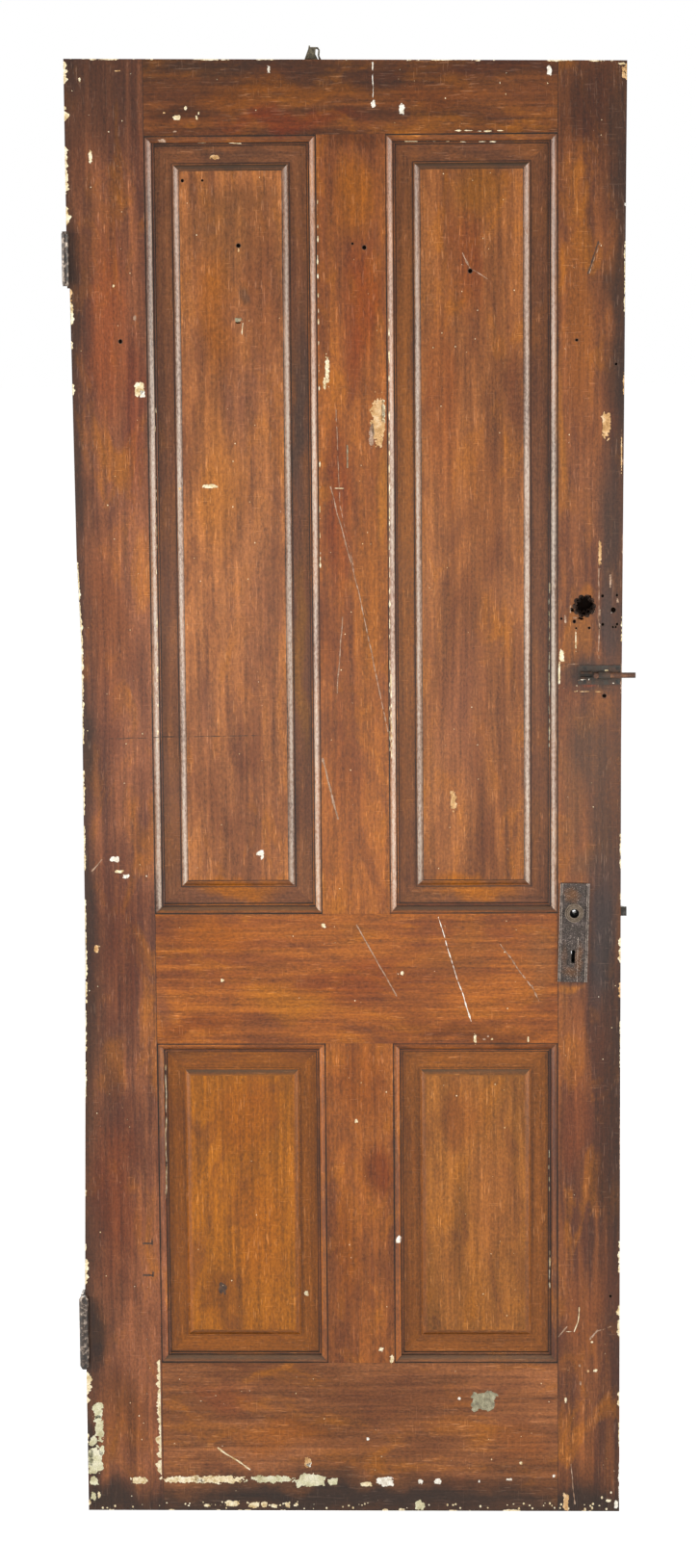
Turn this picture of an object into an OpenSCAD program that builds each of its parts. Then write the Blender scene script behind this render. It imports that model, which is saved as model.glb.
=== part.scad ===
// Four-panel interior door leaf with its old hardware, in millimetres.
// The leaf stands on z = 0 with its front towards -Y, its hinges at -X and its lock at +X.
// The origin is the middle of the leaf's bottom edge.

/* [Leaf] */
// Width of the leaf at its top
leaf_w = 762; // [740:1:800]
// Height of the leaf at its hinge edge
leaf_h = 2036; // [1990:1:2080]
// Thickness of the stiles, rails and muntins
leaf_t = 35; // [34:0.5:42]

/* [Frame members] */
// Face width of the stile that carries the hinges
hinge_stile_w = 107; // [100:1:120]
// Face width of the stile that carries the lock, at its top
lock_stile_w = 93; // [92:1:110]
// Face width of the two muntins
muntin_w = 94; // [80:1:110]
// Face height of the top rail at the hinge edge
top_rail_w = 104; // [94:1:120]
// Face height of the lock rail
lock_rail_w = 184; // [176:1:205]
// Face height of the bottom rail
bottom_rail_w = 217; // [200:1:235]
// How far the lower muntin stands towards the lock side of the upper one
lower_muntin_shift = 3; // [0:0.5:6]
// Height of the lower panel openings
lower_opening_h = 461; // [420:1:500]

/* [Planed edges] */
// Depth planed off the lock edge below the place where the taper ends
lock_edge_planed = 6; // [2:0.1:7]
// Height at which the lock edge's taper ends
lock_taper_z = 1100; // [1000:1:1180]
// Fall of the top edge towards the lock side
top_edge_fall = 9; // [4:0.5:12]
// Deepest hollow planed into the hinge edge
hollow_d = 10.8; // [9:0.1:12]
// Depth of the hinge edge's hollow just above its step
hollow_step_d = 6.4; // [5:0.1:8]
// Depth of the hinge edge's hollow under the upper hinge
hollow_top_d = 3.4; // [2:0.1:4.5]
// Depth of the hollow at its lower bend
hollow_bend_d = 8.8; // [7:0.1:9]
// Height of the step in the hollow
hollow_step_z = 1240; // [1150:1:1350]
// Height over which the step runs out
hollow_step_h = 120; // [80:1:160]
// Height of the hollow's lower bend
hollow_bend_z = 800; // [650:1:950]

/* [Sticking and groove] */
// Width of the flat fillet below the ovolo
stick_fillet = 3.4; // [2:0.1:4.5]
// Width of the quirk beside the face
quirk_w = 1.6; // [1:0.1:2]
// Depth of the quirk below the face
quirk_d = 1.4; // [0.8:0.1:2]
// Width of the moulding's flat ovolo
ovolo_w = 7.6; // [6:0.1:8.4]
// Depth of the ovolo
ovolo_d = 5.3; // [4:0.1:6]
// Height of the small step under the ovolo
stick_step = 2.3; // [1.5:0.1:2.6]
// Gap left in the groove for the panel to swell
tongue_gap = 1.6; // [1:0.1:3]

/* [Joints of the frame] */
// Thickness of the tenons and of the panels' margins
tenon_t = 12; // [10:0.5:13]
// Clearance on each side of a tenon or a panel's tongue
fit_clear = 0.1; // [0.05:0.01:0.2]
// Wood left between a tenon's edge and the rail's edge
tenon_shoulder = 9; // [6:1:12]
// Wood left between two tenons on one rail
tenon_gap = 22; // [16:1:30]
// Haunch left above the top rail's tenon
haunch = 40; // [30:1:50]
// Length of the muntins' stub tenons
stub_l = 30; // [20:1:36]
// Thick end of a wedge
wedge_t = 4; // [3:0.5:6]
// Length of a wedge
wedge_l = 58; // [40:1:70]

/* [Panels] */
// From an opening's edge to the start of the raised field's moulding
raise_from_edge = 37; // [30:0.5:48]
// Width of the moulding round the raised field
raise_w = 10; // [8:0.1:14]
// Height of the raised field over the margin
raise_h = 6; // [4:0.1:6.5]
// Height of the small step at the foot of the raise
raise_step = 1.2; // [0.6:0.1:2]
// Width of the fillet beside that step
raise_fillet = 2; // [1:0.1:3]

/* [Lock] */
// Height of the knob's axis over the lock rail's top edge
knob_rise = 0.5; // [-6:0.5:6]
// From the lock edge to the knob's axis
backset = 64.5; // [62:0.5:68]
// From the knob's axis down to the key's axis
key_drop = 55.5; // [54:0.5:60]
// Thickness of the lock case
case_t = 16; // [15:0.5:18]
// Wall of the lock case and its cap
case_wall = 2.5; // [2:0.1:3]
// Case behind the knob's axis
case_back = 20; // [19:0.1:20.5]
// Case above the knob's axis
case_above = 23; // [21:0.5:26]
// Case below the key's axis
case_below = 25; // [22:0.5:28]
// Length of the lock's front plate
front_l = 150; // [140:1:170]
// Width of the lock's front plate
front_w = 22; // [19:0.5:26]
// Thickness of the lock's front plate
front_t = 2.5; // [2:0.1:3.5]
// Radius of the hub's bearing
hub_r = 9; // [8.5:0.1:9.5]
// Side of the hub's square hole
hub_square = 7.6; // [6:0.1:8.5]
// Length of the hub's arms from its axis
hub_arm = 16; // [15:0.1:16.5]
// How far the latch stands out of the front plate
latch_out = 8.6; // [7:0.1:9]
// Height of the latch's head
latch_h = 12.6; // [10:0.1:14]
// Thickness of the latch's head
latch_t = 10.4; // [8:0.1:10.6]
// Height of the dead bolt
bolt_h = 16; // [14:0.5:17]
// From the key's axis up to the dead bolt
bolt_over_key = 9; // [8:0.5:10]
// Throw of the dead bolt
bolt_throw = 12; // [8:0.5:13]
// Running clearance of the lock's sliding and turning pieces
lock_clear = 0.08; // [0.03:0.01:0.1]
// Clearance round the lock case in its mortise
mortise_clear = 0.4; // [0.2:0.1:0.6]
// Radius of the keyhole's round end
keyhole_r = 3.4; // [3:0.1:4]
// Width of the keyhole's slot
keyhole_w = 5; // [4.6:0.1:5.4]
// Clearance round the key in the wood
wood_key_clear = 1; // [0.6:0.1:1.6]
// Length of the keyhole's slot below the key's axis
keyhole_l = 15; // [11:0.5:18]

/* [Escutcheon] */
// Width of the plate
plate_w = 40.5; // [36:0.5:46]
// Plate above the knob's axis
plate_above = 42; // [38:0.5:50]
// Plate below the knob's axis
plate_below = 97; // [90:0.5:108]
// Thickness of the plate's ground
plate_t = 1.6; // [1.2:0.1:2.4]
// Height of the raised rim over the ground
plate_rim = 1.2; // [0.6:0.1:2]
// Width of the raised rim
rim_w = 3; // [2:0.1:4]
// Radius of the knob socket
socket_r = 6.4; // [6:0.1:8]
// Outer radius of the ring round the socket
socket_ring_r = 13; // [11.5:0.1:14]
// Height of that ring over the ground
socket_rise = 4; // [2:0.1:6]
// Lean of the plate to the lock side, in degrees
plate_lean = 1.5; // [0:0.1:2]

/* [Slide bolt] */
// Height of the slide bolt's rod
slide_z = 1195; // [1150:1:1230]
// Radius of the rod
rod_r = 3.8; // [3:0.1:4.4]
// How far the thrown rod stands out of the lock edge
rod_out = 18.6; // [12:0.1:22]
// Length of the bolt's plate
slide_plate_l = 60; // [58:1:70]
// Height of the bolt's plate
slide_plate_h = 26; // [25:0.5:32]
// Thickness of the bolt's plate
slide_plate_t = 2; // [1.5:0.1:3]
// Wall of the bolt's two guides
guide_wall = 1.6; // [1.2:0.1:2.2]
// Length of each guide
guide_l = 16; // [14:0.5:17]
// Radius of the knob on the rod
slide_knob_r = 3.4; // [3:0.1:4.2]

/* [Hinges] */
// From the leaf's top down to the upper hinge
upper_hinge_drop = 231; // [210:1:260]
// Height of the upper hinge
upper_hinge_h = 74; // [72:1:90]
// Radius of the upper hinge's knuckle
upper_knuckle_r = 4.6; // [4.4:0.1:6]
// From the leaf's bottom up to the lower hinge
lower_hinge_rise = 210; // [185:1:235]
// Height of the lower hinge
lower_hinge_h = 106; // [96:1:116]
// Radius of the lower hinge's knuckle
lower_knuckle_r = 6.5; // [6:0.1:6.8]
// Gap between a hinge's closed leaves
hinge_gap = 3; // [2:0.1:4]
// From the leaf's face out to the hinge pins' axis
pin_out = 7; // [7:0.1:9]
// Thickness of the hinge leaves
hinge_leaf_t = 3; // [2.4:0.1:3.4]
// Reach of the hinge leaves across the leaf's edge
hinge_leaf_reach = 30; // [27:0.5:33]
// Gap between a hinge's two knuckles
knuckle_gap = 0.2; // [0.1:0.05:0.4]
// Running clearance round the pins
pin_clear = 0.05; // [0.02:0.01:0.1]

/* [Screws] */
// Shank radius of the hinge and lock screws
screw_r = 2.4; // [2:0.1:2.6]
// Head radius of the hinge and lock screws
screw_head_r = 4.2; // [3.6:0.1:4.6]
// Length of the hinge and lock screws
screw_l = 24; // [16:1:30]
// Shank radius of the small screws
small_screw_r = 1.6; // [1.2:0.1:1.8]
// Head radius of the small screws
small_head_r = 3; // [2.6:0.1:3.4]
// Length of the small screws in the slide bolt's plate
small_screw_l = 14; // [10:1:18]
// Length of the small screws in the escutcheon
plate_screw_l = 9; // [7:1:10]
// Clearance of a screw in its hole
screw_clear = 0.05; // [0.02:0.01:0.1]
// Clearance of the frame's own screws in the frame leaves
frame_screw_clear = 0.3; // [0.2:0.05:0.5]

/* [Old night latch hole] */
// Height of the hole
old_hole_z = 1290; // [1260:1:1330]
// From the lock edge to the hole
old_hole_in = 52.5; // [48:0.5:58]
// Radius of the hole inside its scallops
old_hole_r = 13.4; // [11:0.1:15]
// Radius of one of the drill holes round its edge
old_drill_r = 4; // [3:0.1:5]
// Depth of the hole
old_hole_d = 27; // [20:0.5:30]

/* [Top clip] */
// Place of the clip on the top edge, from the middle
clip_x = -43.5; // [-120:0.5:40]
// Height of the bent clip
clip_h = 17; // [14:0.5:22]
// Thickness of the clip's iron
clip_t = 2; // [1.5:0.1:3]
// Depth of the clip along the leaf's thickness
clip_d = 12; // [8:0.5:16]

/* [Hidden] */
$fn = 48;

// Steps in a wooden moulding's curve
curve_n = 8;
// Tilts of the frame's moulding at its flat end and at its steep end, in degrees
stick_tilt = [18, 52];
// Tilts of the moulding round a panel's raised field
raise_tilt = [18, 42];
// Overlap that lets a cut run clear of a face
over = 1;

half_w = leaf_w / 2;
half_t = leaf_t / 2;
stick_d = quirk_d + ovolo_d + stick_step;
stick_w = quirk_w + ovolo_w + stick_fillet;
// The groove's floor lies under the edge of the face
groove_d = stick_w;
tongue_in = groove_d - tongue_gap;
// How far a tenon runs on inside its own member
tenon_root = stick_w;
groove_half = tenon_t / 2 + fit_clear;

// Edges of the openings, from the hinge side to the lock side and from the bottom up
opening_w = (leaf_w - hinge_stile_w - lock_stile_w - muntin_w) / 2;
left_x0 = -half_w + hinge_stile_w;
left_x1 = left_x0 + opening_w;
right_x0 = left_x1 + muntin_w;
right_x1 = right_x0 + opening_w;
low_z0 = bottom_rail_w;
low_z1 = low_z0 + lower_opening_h;
high_z0 = low_z1 + lock_rail_w;
high_z1 = leaf_h - top_rail_w;
top_fall_angle = atan(top_edge_fall / leaf_w);

// Where the lock edge lies at a height
function lock_edge(z) =
  half_w - lock_edge_planed * min(1, (leaf_h - z) / (leaf_h - lock_taper_z));

// The lock's own places
knob_z = high_z0 + knob_rise;
key_z = knob_z - key_drop;
lock_x = lock_edge(knob_z);
hub_x = lock_x - backset;
// The key's axis stands under the leaning plate's keyhole
key_x = hub_x - key_drop * sin(plate_lean);
case_x0 = hub_x - case_back;
case_x1 = lock_x - front_t;
case_z0 = key_z - case_below;
case_z1 = knob_z + case_above;
case_y = case_t / 2;
cavity_y = case_y - case_wall;
front_z0 = (case_z0 + case_z1 - front_l) / 2;
front_z1 = front_z0 + front_l;
bolt_z0 = key_z + bolt_over_key;

// The hinges' own places
pin_x = -half_w - hinge_gap / 2;
pin_y = -half_t - pin_out;
upper_hinge_z = leaf_h - upper_hinge_drop - upper_hinge_h;
lower_hinge_z = lower_hinge_rise;

// Tenons as [low z, high z] on each rail and side
top_tenons = [[high_z1 + tenon_shoulder, leaf_h - haunch]];
lock_tenon_h = (lock_rail_w - 2 * tenon_shoulder - tenon_gap) / 2;
lock_tenons = [
  [low_z1 + tenon_shoulder, low_z1 + tenon_shoulder + lock_tenon_h],
  [high_z0 - tenon_shoulder - lock_tenon_h, high_z0 - tenon_shoulder]
];
// On the lock side the lock takes the upper tenon's place
lock_side_tenons = [[low_z1 + tenon_shoulder, front_z0 - tenon_shoulder - wedge_t]];
// The bottom rail's upper tenon stays below the lower hinge
bottom_tenon_top = min(low_z0, lower_hinge_z - wedge_t) - tenon_shoulder;
bottom_tenon_h = (bottom_tenon_top - haunch - tenon_gap) / 2;
bottom_tenons = [
  [haunch, haunch + bottom_tenon_h],
  [bottom_tenon_top - bottom_tenon_h, bottom_tenon_top]
];
hinge_side_tenons = concat(top_tenons, lock_tenons, bottom_tenons);
all_lock_side_tenons = concat(top_tenons, lock_side_tenons, bottom_tenons);

wood = "saddlebrown";
iron = "dimgray";
steel = "slategray";
bronze = "darkgoldenrod";

// Profiles of the joinery. A member's moulded edge lies at u = 0 and faces +u, with v across the thickness.

function shifted(points, du) = [for (p = points) [p[0] + du, p[1]]];
function turned(points) = [for (i = [len(points) - 1 : -1 : 0]) [points[i][0], -points[i][1]]];
function flipped(points) = [for (i = [len(points) - 1 : -1 : 0]) [-points[i][0], points[i][1]]];

// A flat ovolo from its flat end to its steep end: [distance, fall]
function ovolo(w, d, tilt) = [for (i = [0 : curve_n]) let (t = tilt[0] + (tilt[1] - tilt[0]) * i / curve_n)
  [w * (sin(t) - sin(tilt[0])) / (sin(tilt[1]) - sin(tilt[0])),
   d * (cos(tilt[0]) - cos(t)) / (cos(tilt[0]) - cos(tilt[1]))]];

// Half of the moulded edge: quirk, ovolo, step, fillet and one wall of the groove
function stick_half() = concat(
  [[0, half_t], [0, half_t - quirk_d]],
  [for (p = ovolo(ovolo_w, ovolo_d, stick_tilt)) [quirk_w + p[0], half_t - quirk_d - p[1]]],
  [[quirk_w + ovolo_w, half_t - stick_d], [stick_w, half_t - stick_d]],
  [[stick_w, groove_half], [stick_w - groove_d, groove_half]]
);
function stick_edge() = concat(stick_half(), turned(stick_half()));
function plain_edge() = [[0, half_t], [0, -half_t]];

// Section of a member between two edges, each moulded or plain
function member(u0, u1, low_edge, high_edge) =
  concat(shifted(high_edge, u1), flipped(shifted(low_edge, -u0)));

// Half of a panel's section: [distance from the edge, half thickness]
panel_out = stick_w - tongue_in;
raise_at = raise_from_edge - panel_out;
margin_half = tenon_t / 2;
function raise_half() = concat(
  [[0, margin_half], [raise_at, margin_half], [raise_at, margin_half + raise_step]],
  [for (i = [curve_n : -1 : 0]) let (p = ovolo(raise_w - raise_fillet, raise_h - raise_step, raise_tilt)[i])
    [raise_at + raise_w - p[0], margin_half + raise_h - p[1]]]
);
function panel_side(size) = concat(
  [for (p = raise_half()) [p[0] - size / 2, p[1]]],
  [for (i = [len(raise_half()) - 1 : -1 : 0]) [size / 2 - raise_half()[i][0], raise_half()[i][1]]]
);
function panel_section(size) = concat(panel_side(size), turned(panel_side(size)));

// Extrudes a section along X, with u up and v across
module along_x(length) {
  rotate([180, -90, 0]) linear_extrude(length) children();
}

// The leaf's outline seen from the front, with its planed edges
module leaf_outline() {
  hollow_low = lower_hinge_z + lower_hinge_h + hinge_leaf_t;
  hollow_high = upper_hinge_z - hinge_leaf_t;
  rotate([90, 0, 0]) linear_extrude(leaf_t + 2 * over, center = true) polygon([
    [-half_w, 0],
    [lock_edge(0), 0],
    [lock_edge(lock_taper_z), lock_taper_z],
    [half_w, leaf_h - top_edge_fall],
    [-half_w, leaf_h],
    [-half_w, hollow_high],
    [-half_w + hollow_top_d, hollow_high],
    [-half_w + hollow_step_d, hollow_step_z + hollow_step_h],
    [-half_w + hollow_d, hollow_step_z],
    [-half_w + hollow_bend_d, hollow_bend_z],
    [-half_w, hollow_low]
  ]);
}

module hinge_stile_blank() {
  linear_extrude(leaf_h) polygon(member(-half_w, left_x0, plain_edge(), stick_edge()));
}

module lock_stile_blank() {
  linear_extrude(leaf_h) polygon(member(right_x1, half_w, stick_edge(), plain_edge()));
}

module rail_blank(z0, z1, low_edge, high_edge) {
  translate([left_x0, 0, 0]) along_x(right_x1 - left_x0)
    polygon(member(z0, z1, low_edge, high_edge));
}

module top_rail_blank() rail_blank(high_z1, leaf_h, stick_edge(), plain_edge());
module lock_rail_blank() rail_blank(low_z1, high_z0, stick_edge(), stick_edge());
module bottom_rail_blank() rail_blank(0, low_z0, plain_edge(), stick_edge());

// A block between two places on each axis
module block(x, y, z) {
  translate([x[0], y[0], z[0]]) cube([x[1] - x[0], y[1] - y[0], z[1] - z[0]]);
}

// A tenon through a stile, thinner than its mortise by the clearance
module tenons(list, x, clear) {
  t = tenon_t / 2 + clear;
  for (z = list) block(x, [-t, t], z);
}

// Two wedges on each tenon, thick at the stile's outer edge
module wedge_pairs(list, outer_x, way, clear) {
  t = tenon_t / 2 + clear;
  for (z = list, side = [0, 1]) {
    foot = z[side];
    rise = (side == 0 ? -1 : 1) * wedge_t;
    rotate([90, 0, 0]) linear_extrude(2 * t, center = true) polygon([
      [outer_x, foot], [outer_x + way * wedge_l, foot], [outer_x, foot + rise]
    ]);
  }
}

// A mortise takes the tenon and its wedges
module mortises(list, x, outer_x, way) {
  tenons(list, x, fit_clear);
  wedge_pairs(list, outer_x, way, fit_clear);
}

// Stub tenons of the muntins, and their mortises
module stubs(shift, z, clear) {
  t = tenon_t / 2 + clear;
  block([left_x1 + shift + tenon_shoulder - clear, right_x0 + shift - tenon_shoulder + clear], [-t, t], z);
}

// Screws and their holes: the head's top lies at z = 0 and the shank runs down -Z

module wood_screw(length, shank_r, head_r) {
  head_h = head_r - shank_r;
  slot_w = shank_r / 2;
  difference() {
    union() {
      translate([0, 0, -head_h]) cylinder(h = head_h, r1 = shank_r, r2 = head_r);
      translate([0, 0, -length]) cylinder(h = length - head_h, r = shank_r);
    }
    translate([-head_r, -slot_w / 2, -head_h / 2]) cube([2 * head_r, slot_w, head_h]);
  }
}

module screw_hole(length, shank_r, head_r, clear = screw_clear) {
  head_h = head_r - shank_r;
  hole_r = shank_r + clear;
  sink_r = head_r + clear;
  rotate_extrude() polygon([
    [0, -length - clear], [hole_r, -length - clear], [hole_r, -head_h], [sink_r, 0], [sink_r, over], [0, over]
  ]);
}

// Shapes shared by the lock and its plate

module keyhole(length, clear) {
  w = keyhole_w + 2 * clear;
  rotate([90, 0, 0]) linear_extrude(length, center = true) {
    circle(r = keyhole_r + clear);
    translate([-w / 2, -keyhole_l - clear]) square([w, keyhole_l + clear]);
  }
}

module across(x, z, r, length) {
  translate([x, 0, z]) rotate([90, 0, 0]) cylinder(h = length, r = r, center = true);
}

// Stiles, rails and muntins

module hinge_stile() {
  color(wood) difference() {
    intersection() {
      hinge_stile_blank();
      leaf_outline();
    }
    mortises(hinge_side_tenons, [-half_w - over, left_x0 + over], -half_w, 1);
    hinge_gain(upper_hinge_z, upper_hinge_h);
    hinge_gain(lower_hinge_z, lower_hinge_h);
    hinge_screw_places(upper_hinge_z, upper_hinge_h, upper_screws) screw_hole(screw_l, screw_r, screw_head_r);
    hinge_screw_places(lower_hinge_z, lower_hinge_h, lower_screws) screw_hole(screw_l, screw_r, screw_head_r);
  }
}

module lock_stile() {
  bore = hub_r + mortise_clear;
  color(wood) difference() {
    intersection() {
      lock_stile_blank();
      leaf_outline();
    }
    mortises(all_lock_side_tenons, [right_x1 - over, half_w + over], half_w, -1);
    // The lock's mortise, the seat of its front plate and the holes for knob and key
    block([case_x0 - mortise_clear, lock_x + over],
          [-case_y - mortise_clear, case_y + mortise_clear],
          [case_z0 - mortise_clear, case_z1 + mortise_clear]);
    block([lock_x - front_t, lock_x + over], [-front_w / 2, front_w / 2], [front_z0, front_z1]);
    across(hub_x, knob_z, bore, leaf_t + 2 * over);
    translate([key_x, 0, key_z]) keyhole(leaf_t + 2 * over, wood_key_clear);
    front_screw_places() screw_hole(screw_l, screw_r, screw_head_r);
    front_plate_screw_places() screw_hole(plate_screw_l, small_screw_r, small_head_r);
    slide_screw_places() screw_hole(small_screw_l, small_screw_r, small_head_r);
    old_night_latch_hole();
  }
}

// A hole once chain-drilled for a night latch, with its scalloped edge
module old_night_latch_hole() {
  drills = 10;
  translate([lock_edge(old_hole_z) - old_hole_in, -half_t - over, old_hole_z]) rotate([-90, 0, 0]) {
    cylinder(h = old_hole_d + over, r = old_hole_r);
    for (i = [0 : drills - 1]) rotate([0, 0, i * 360 / drills])
      translate([old_hole_r - old_drill_r / 4, 0, 0]) cylinder(h = old_hole_d, r = old_drill_r);
  }
}

// A rail's ends are scribed over the stiles' mouldings
module top_rail() {
  color(wood) intersection() {
    difference() {
      union() {
        difference() {
          top_rail_blank();
          hinge_stile_blank();
          lock_stile_blank();
        }
        tenons(top_tenons, [-half_w, left_x0 + tenon_root], 0);
        tenons(top_tenons, [right_x1 - tenon_root, half_w], 0);
      }
      stubs(0, [high_z1 - stick_w, high_z1 + stub_l + fit_clear], fit_clear);
    }
    leaf_outline();
  }
}

module lock_rail() {
  color(wood) intersection() {
    difference() {
      union() {
        difference() {
          lock_rail_blank();
          hinge_stile_blank();
          lock_stile_blank();
        }
        tenons(lock_tenons, [-half_w, left_x0 + tenon_root], 0);
        tenons(lock_side_tenons, [right_x1 - tenon_root, half_w], 0);
      }
      stubs(0, [high_z0 - stub_l - fit_clear, high_z0 + stick_w], fit_clear);
      stubs(lower_muntin_shift, [low_z1 - stick_w, low_z1 + stub_l + fit_clear], fit_clear);
    }
    leaf_outline();
  }
}

module bottom_rail() {
  color(wood) intersection() {
    difference() {
      union() {
        difference() {
          bottom_rail_blank();
          hinge_stile_blank();
          lock_stile_blank();
        }
        tenons(bottom_tenons, [-half_w, left_x0 + tenon_root], 0);
        tenons(bottom_tenons, [right_x1 - tenon_root, half_w], 0);
      }
      stubs(lower_muntin_shift, [low_z0 - stub_l - fit_clear, low_z0 + stick_w], fit_clear);
    }
    leaf_outline();
  }
}

// A muntin between two rails, scribed over their mouldings, with a stub tenon at each end
module muntin(shift, z0, z1) {
  difference() {
    translate([shift, 0, z0]) linear_extrude(z1 - z0)
      polygon(member(left_x1, right_x0, stick_edge(), stick_edge()));
    top_rail_blank();
    lock_rail_blank();
    bottom_rail_blank();
  }
  stubs(shift, [z0 - stub_l, z0 + tenon_root], 0);
  stubs(shift, [z1 - tenon_root, z1 + stub_l], 0);
}

module upper_muntin() { color(wood) muntin(0, high_z0, high_z1); }
module lower_muntin() { color(wood) muntin(lower_muntin_shift, low_z0, low_z1); }

// Panels: two crossed extrusions of one section give the raised field its mitred edge
module panel(x0, x1, z0, z1) {
  size_x = x1 - x0 - 2 * panel_out;
  size_z = z1 - z0 - 2 * panel_out;
  translate([(x0 + x1) / 2, 0, (z0 + z1) / 2]) intersection() {
    linear_extrude(size_z, center = true) polygon(panel_section(size_x));
    translate([-size_x / 2, 0, 0]) along_x(size_x) polygon(panel_section(size_z));
  }
}

module upper_left_panel() { color(wood) panel(left_x0, left_x1, high_z0, high_z1); }
module upper_right_panel() { color(wood) panel(right_x0, right_x1, high_z0, high_z1); }
module lower_left_panel() { color(wood) panel(left_x0, left_x1 + lower_muntin_shift, low_z0, low_z1); }
module lower_right_panel() { color(wood) panel(right_x0 + lower_muntin_shift, right_x1, low_z0, low_z1); }

module tenon_wedges() {
  color(wood) intersection() {
    union() {
      wedge_pairs(hinge_side_tenons, -half_w, 1, 0);
      wedge_pairs(all_lock_side_tenons, half_w, -1, 0);
    }
    leaf_outline();
  }
}

// Escutcheon: a ground with a raised rim, a stepped ring round the knob socket and a keyhole

plate_screw_margin = rim_w + small_head_r + 1;
plate_screw_z = [plate_above - plate_screw_margin, -plate_below + plate_screw_margin];

module escutcheon_plate() {
  ring_step = socket_rise / 2;
  surround_w = 2 * keyhole_r + 6;
  difference() {
    block([-plate_w / 2, plate_w / 2], [-plate_t - plate_rim, 0], [-plate_below, plate_above]);
    block([-plate_w / 2 + rim_w, plate_w / 2 - rim_w], [-plate_t - plate_rim - over, -plate_t],
          [-plate_below + rim_w, plate_above - rim_w]);
    across(0, 0, socket_ring_r, 4 * socket_rise);
    translate([0, 0, -key_drop]) keyhole(4 * socket_rise, 0);
    for (z = plate_screw_z) translate([0, -plate_t, z]) rotate([90, 0, 0])
      screw_hole(plate_screw_l, small_screw_r, small_head_r);
  }
  // Turned ring of the knob socket, in two steps
  rotate([90, 0, 0]) difference() {
    union() {
      cylinder(h = plate_t + ring_step, r = socket_ring_r);
      cylinder(h = plate_t + socket_rise, r = (socket_ring_r + socket_r) / 2);
    }
    translate([0, 0, -over]) cylinder(h = plate_t + socket_rise + 2 * over, r = socket_r);
  }
  // Raised surround of the keyhole
  difference() {
    block([-surround_w / 2, surround_w / 2], [-plate_t - plate_rim / 2, -plate_t],
          [-key_drop - keyhole_l - 3, -key_drop + keyhole_r + 3]);
    translate([0, 0, -key_drop]) keyhole(4 * socket_rise, 0);
  }
}

module at_front_plate() {
  translate([hub_x, -half_t, knob_z]) rotate([0, plate_lean, 0]) children();
}

module plate_screw_places() {
  for (z = plate_screw_z) translate([0, -plate_t, z]) rotate([90, 0, 0]) children();
}

module front_plate_screw_places() { at_front_plate() plate_screw_places() children(); }

module front_escutcheon() { color(bronze) at_front_plate() escutcheon_plate(); }

module front_escutcheon_screws() {
  color(iron) front_plate_screw_places() wood_screw(plate_screw_l, small_screw_r, small_head_r);
}

// Mortise lock

latch_z = [knob_z - latch_h / 2, knob_z + latch_h / 2];
bolt_z = [bolt_z0, bolt_z0 + bolt_h];
bolt_half_t = cavity_y - 1;
// The latch's arms pass over and under the hub and end in lugs behind the hub's arms
lug_gap = 0.1;
lug_x1 = hub_x - hub_r / 2 - lug_gap;
lug_t = 2.1;
arm_z = [hub_r + 1, hub_arm - 1];
bridge_x = hub_x + hub_r + latch_out + 1.4;
bridge_t = 3.5;
abut_x = bridge_x + bridge_t + 1.5;
abut_t = 2.5;
latch_back_x = lock_x - 24;
stem_r = 2.2;
guide_post_x = hub_x + 24;
guide_post_z = bolt_z0 + bolt_h * 0.62;
guide_post_r = 2.2;
cap_screw_x = hub_x + 40;
cap_screw_z = key_z - case_below / 3;
cap_post_r = 4.5;
cap_screw_l = 12;

module head_slot(z, half, x) {
  block(x, [-half - lock_clear, half + lock_clear], [z[0] - lock_clear, z[1] + lock_clear]);
}

module lock_case() {
  color(iron) difference() {
    union() {
      difference() {
        block([case_x0, case_x1], [-cavity_y, case_y], [case_z0, case_z1]);
        block([case_x0 + case_wall, case_x1 - case_wall], [-cavity_y - over, cavity_y],
              [case_z0 + case_wall, case_z1 - case_wall]);
      }
      // Abutment of the latch's spring, the bolt's guide post and the cap screw's post
      block([abut_x, abut_x + abut_t], [-cavity_y, cavity_y], [knob_z - 7, knob_z + 7]);
      translate([guide_post_x, 0, guide_post_z]) rotate([90, 0, 0])
        cylinder(h = 2 * cavity_y, r = guide_post_r, center = true);
      translate([cap_screw_x, 0, cap_screw_z]) rotate([90, 0, 0])
        cylinder(h = 2 * cavity_y, r = cap_post_r, center = true);
    }
    across(hub_x, knob_z, hub_r, 4 * case_t);
    translate([key_x, 0, key_z]) keyhole(4 * case_t, 0);
    head_slot(latch_z, latch_t / 2, [case_x1 - case_wall - over, case_x1 + over]);
    head_slot(bolt_z, bolt_half_t, [case_x1 - case_wall - over, case_x1 + over]);
    translate([abut_x - over, 0, knob_z]) rotate([0, 90, 0])
      cylinder(h = abut_t + 2 * over, r = stem_r + lock_clear);
    cap_screw_place() screw_hole(cap_screw_l, small_screw_r, small_head_r);
  }
}

module lock_cap() {
  color(iron) difference() {
    block([case_x0, case_x1], [-case_y, -cavity_y], [case_z0, case_z1]);
    across(hub_x, knob_z, hub_r, 4 * case_t);
    translate([key_x, 0, key_z]) keyhole(4 * case_t, 0);
    cap_screw_place() screw_hole(cap_screw_l, small_screw_r, small_head_r);
  }
}

module cap_screw_place() {
  translate([cap_screw_x, -case_y, cap_screw_z]) rotate([90, 0, 0]) children();
}

module lock_cap_screw() {
  color(steel) cap_screw_place() wood_screw(cap_screw_l, small_screw_r, small_head_r);
}

front_screw_margin = 10;
module front_screw_places() {
  for (z = [front_z0 + front_screw_margin, front_z1 - front_screw_margin])
    translate([lock_x, 0, z]) rotate([0, 90, 0]) children();
}

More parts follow.
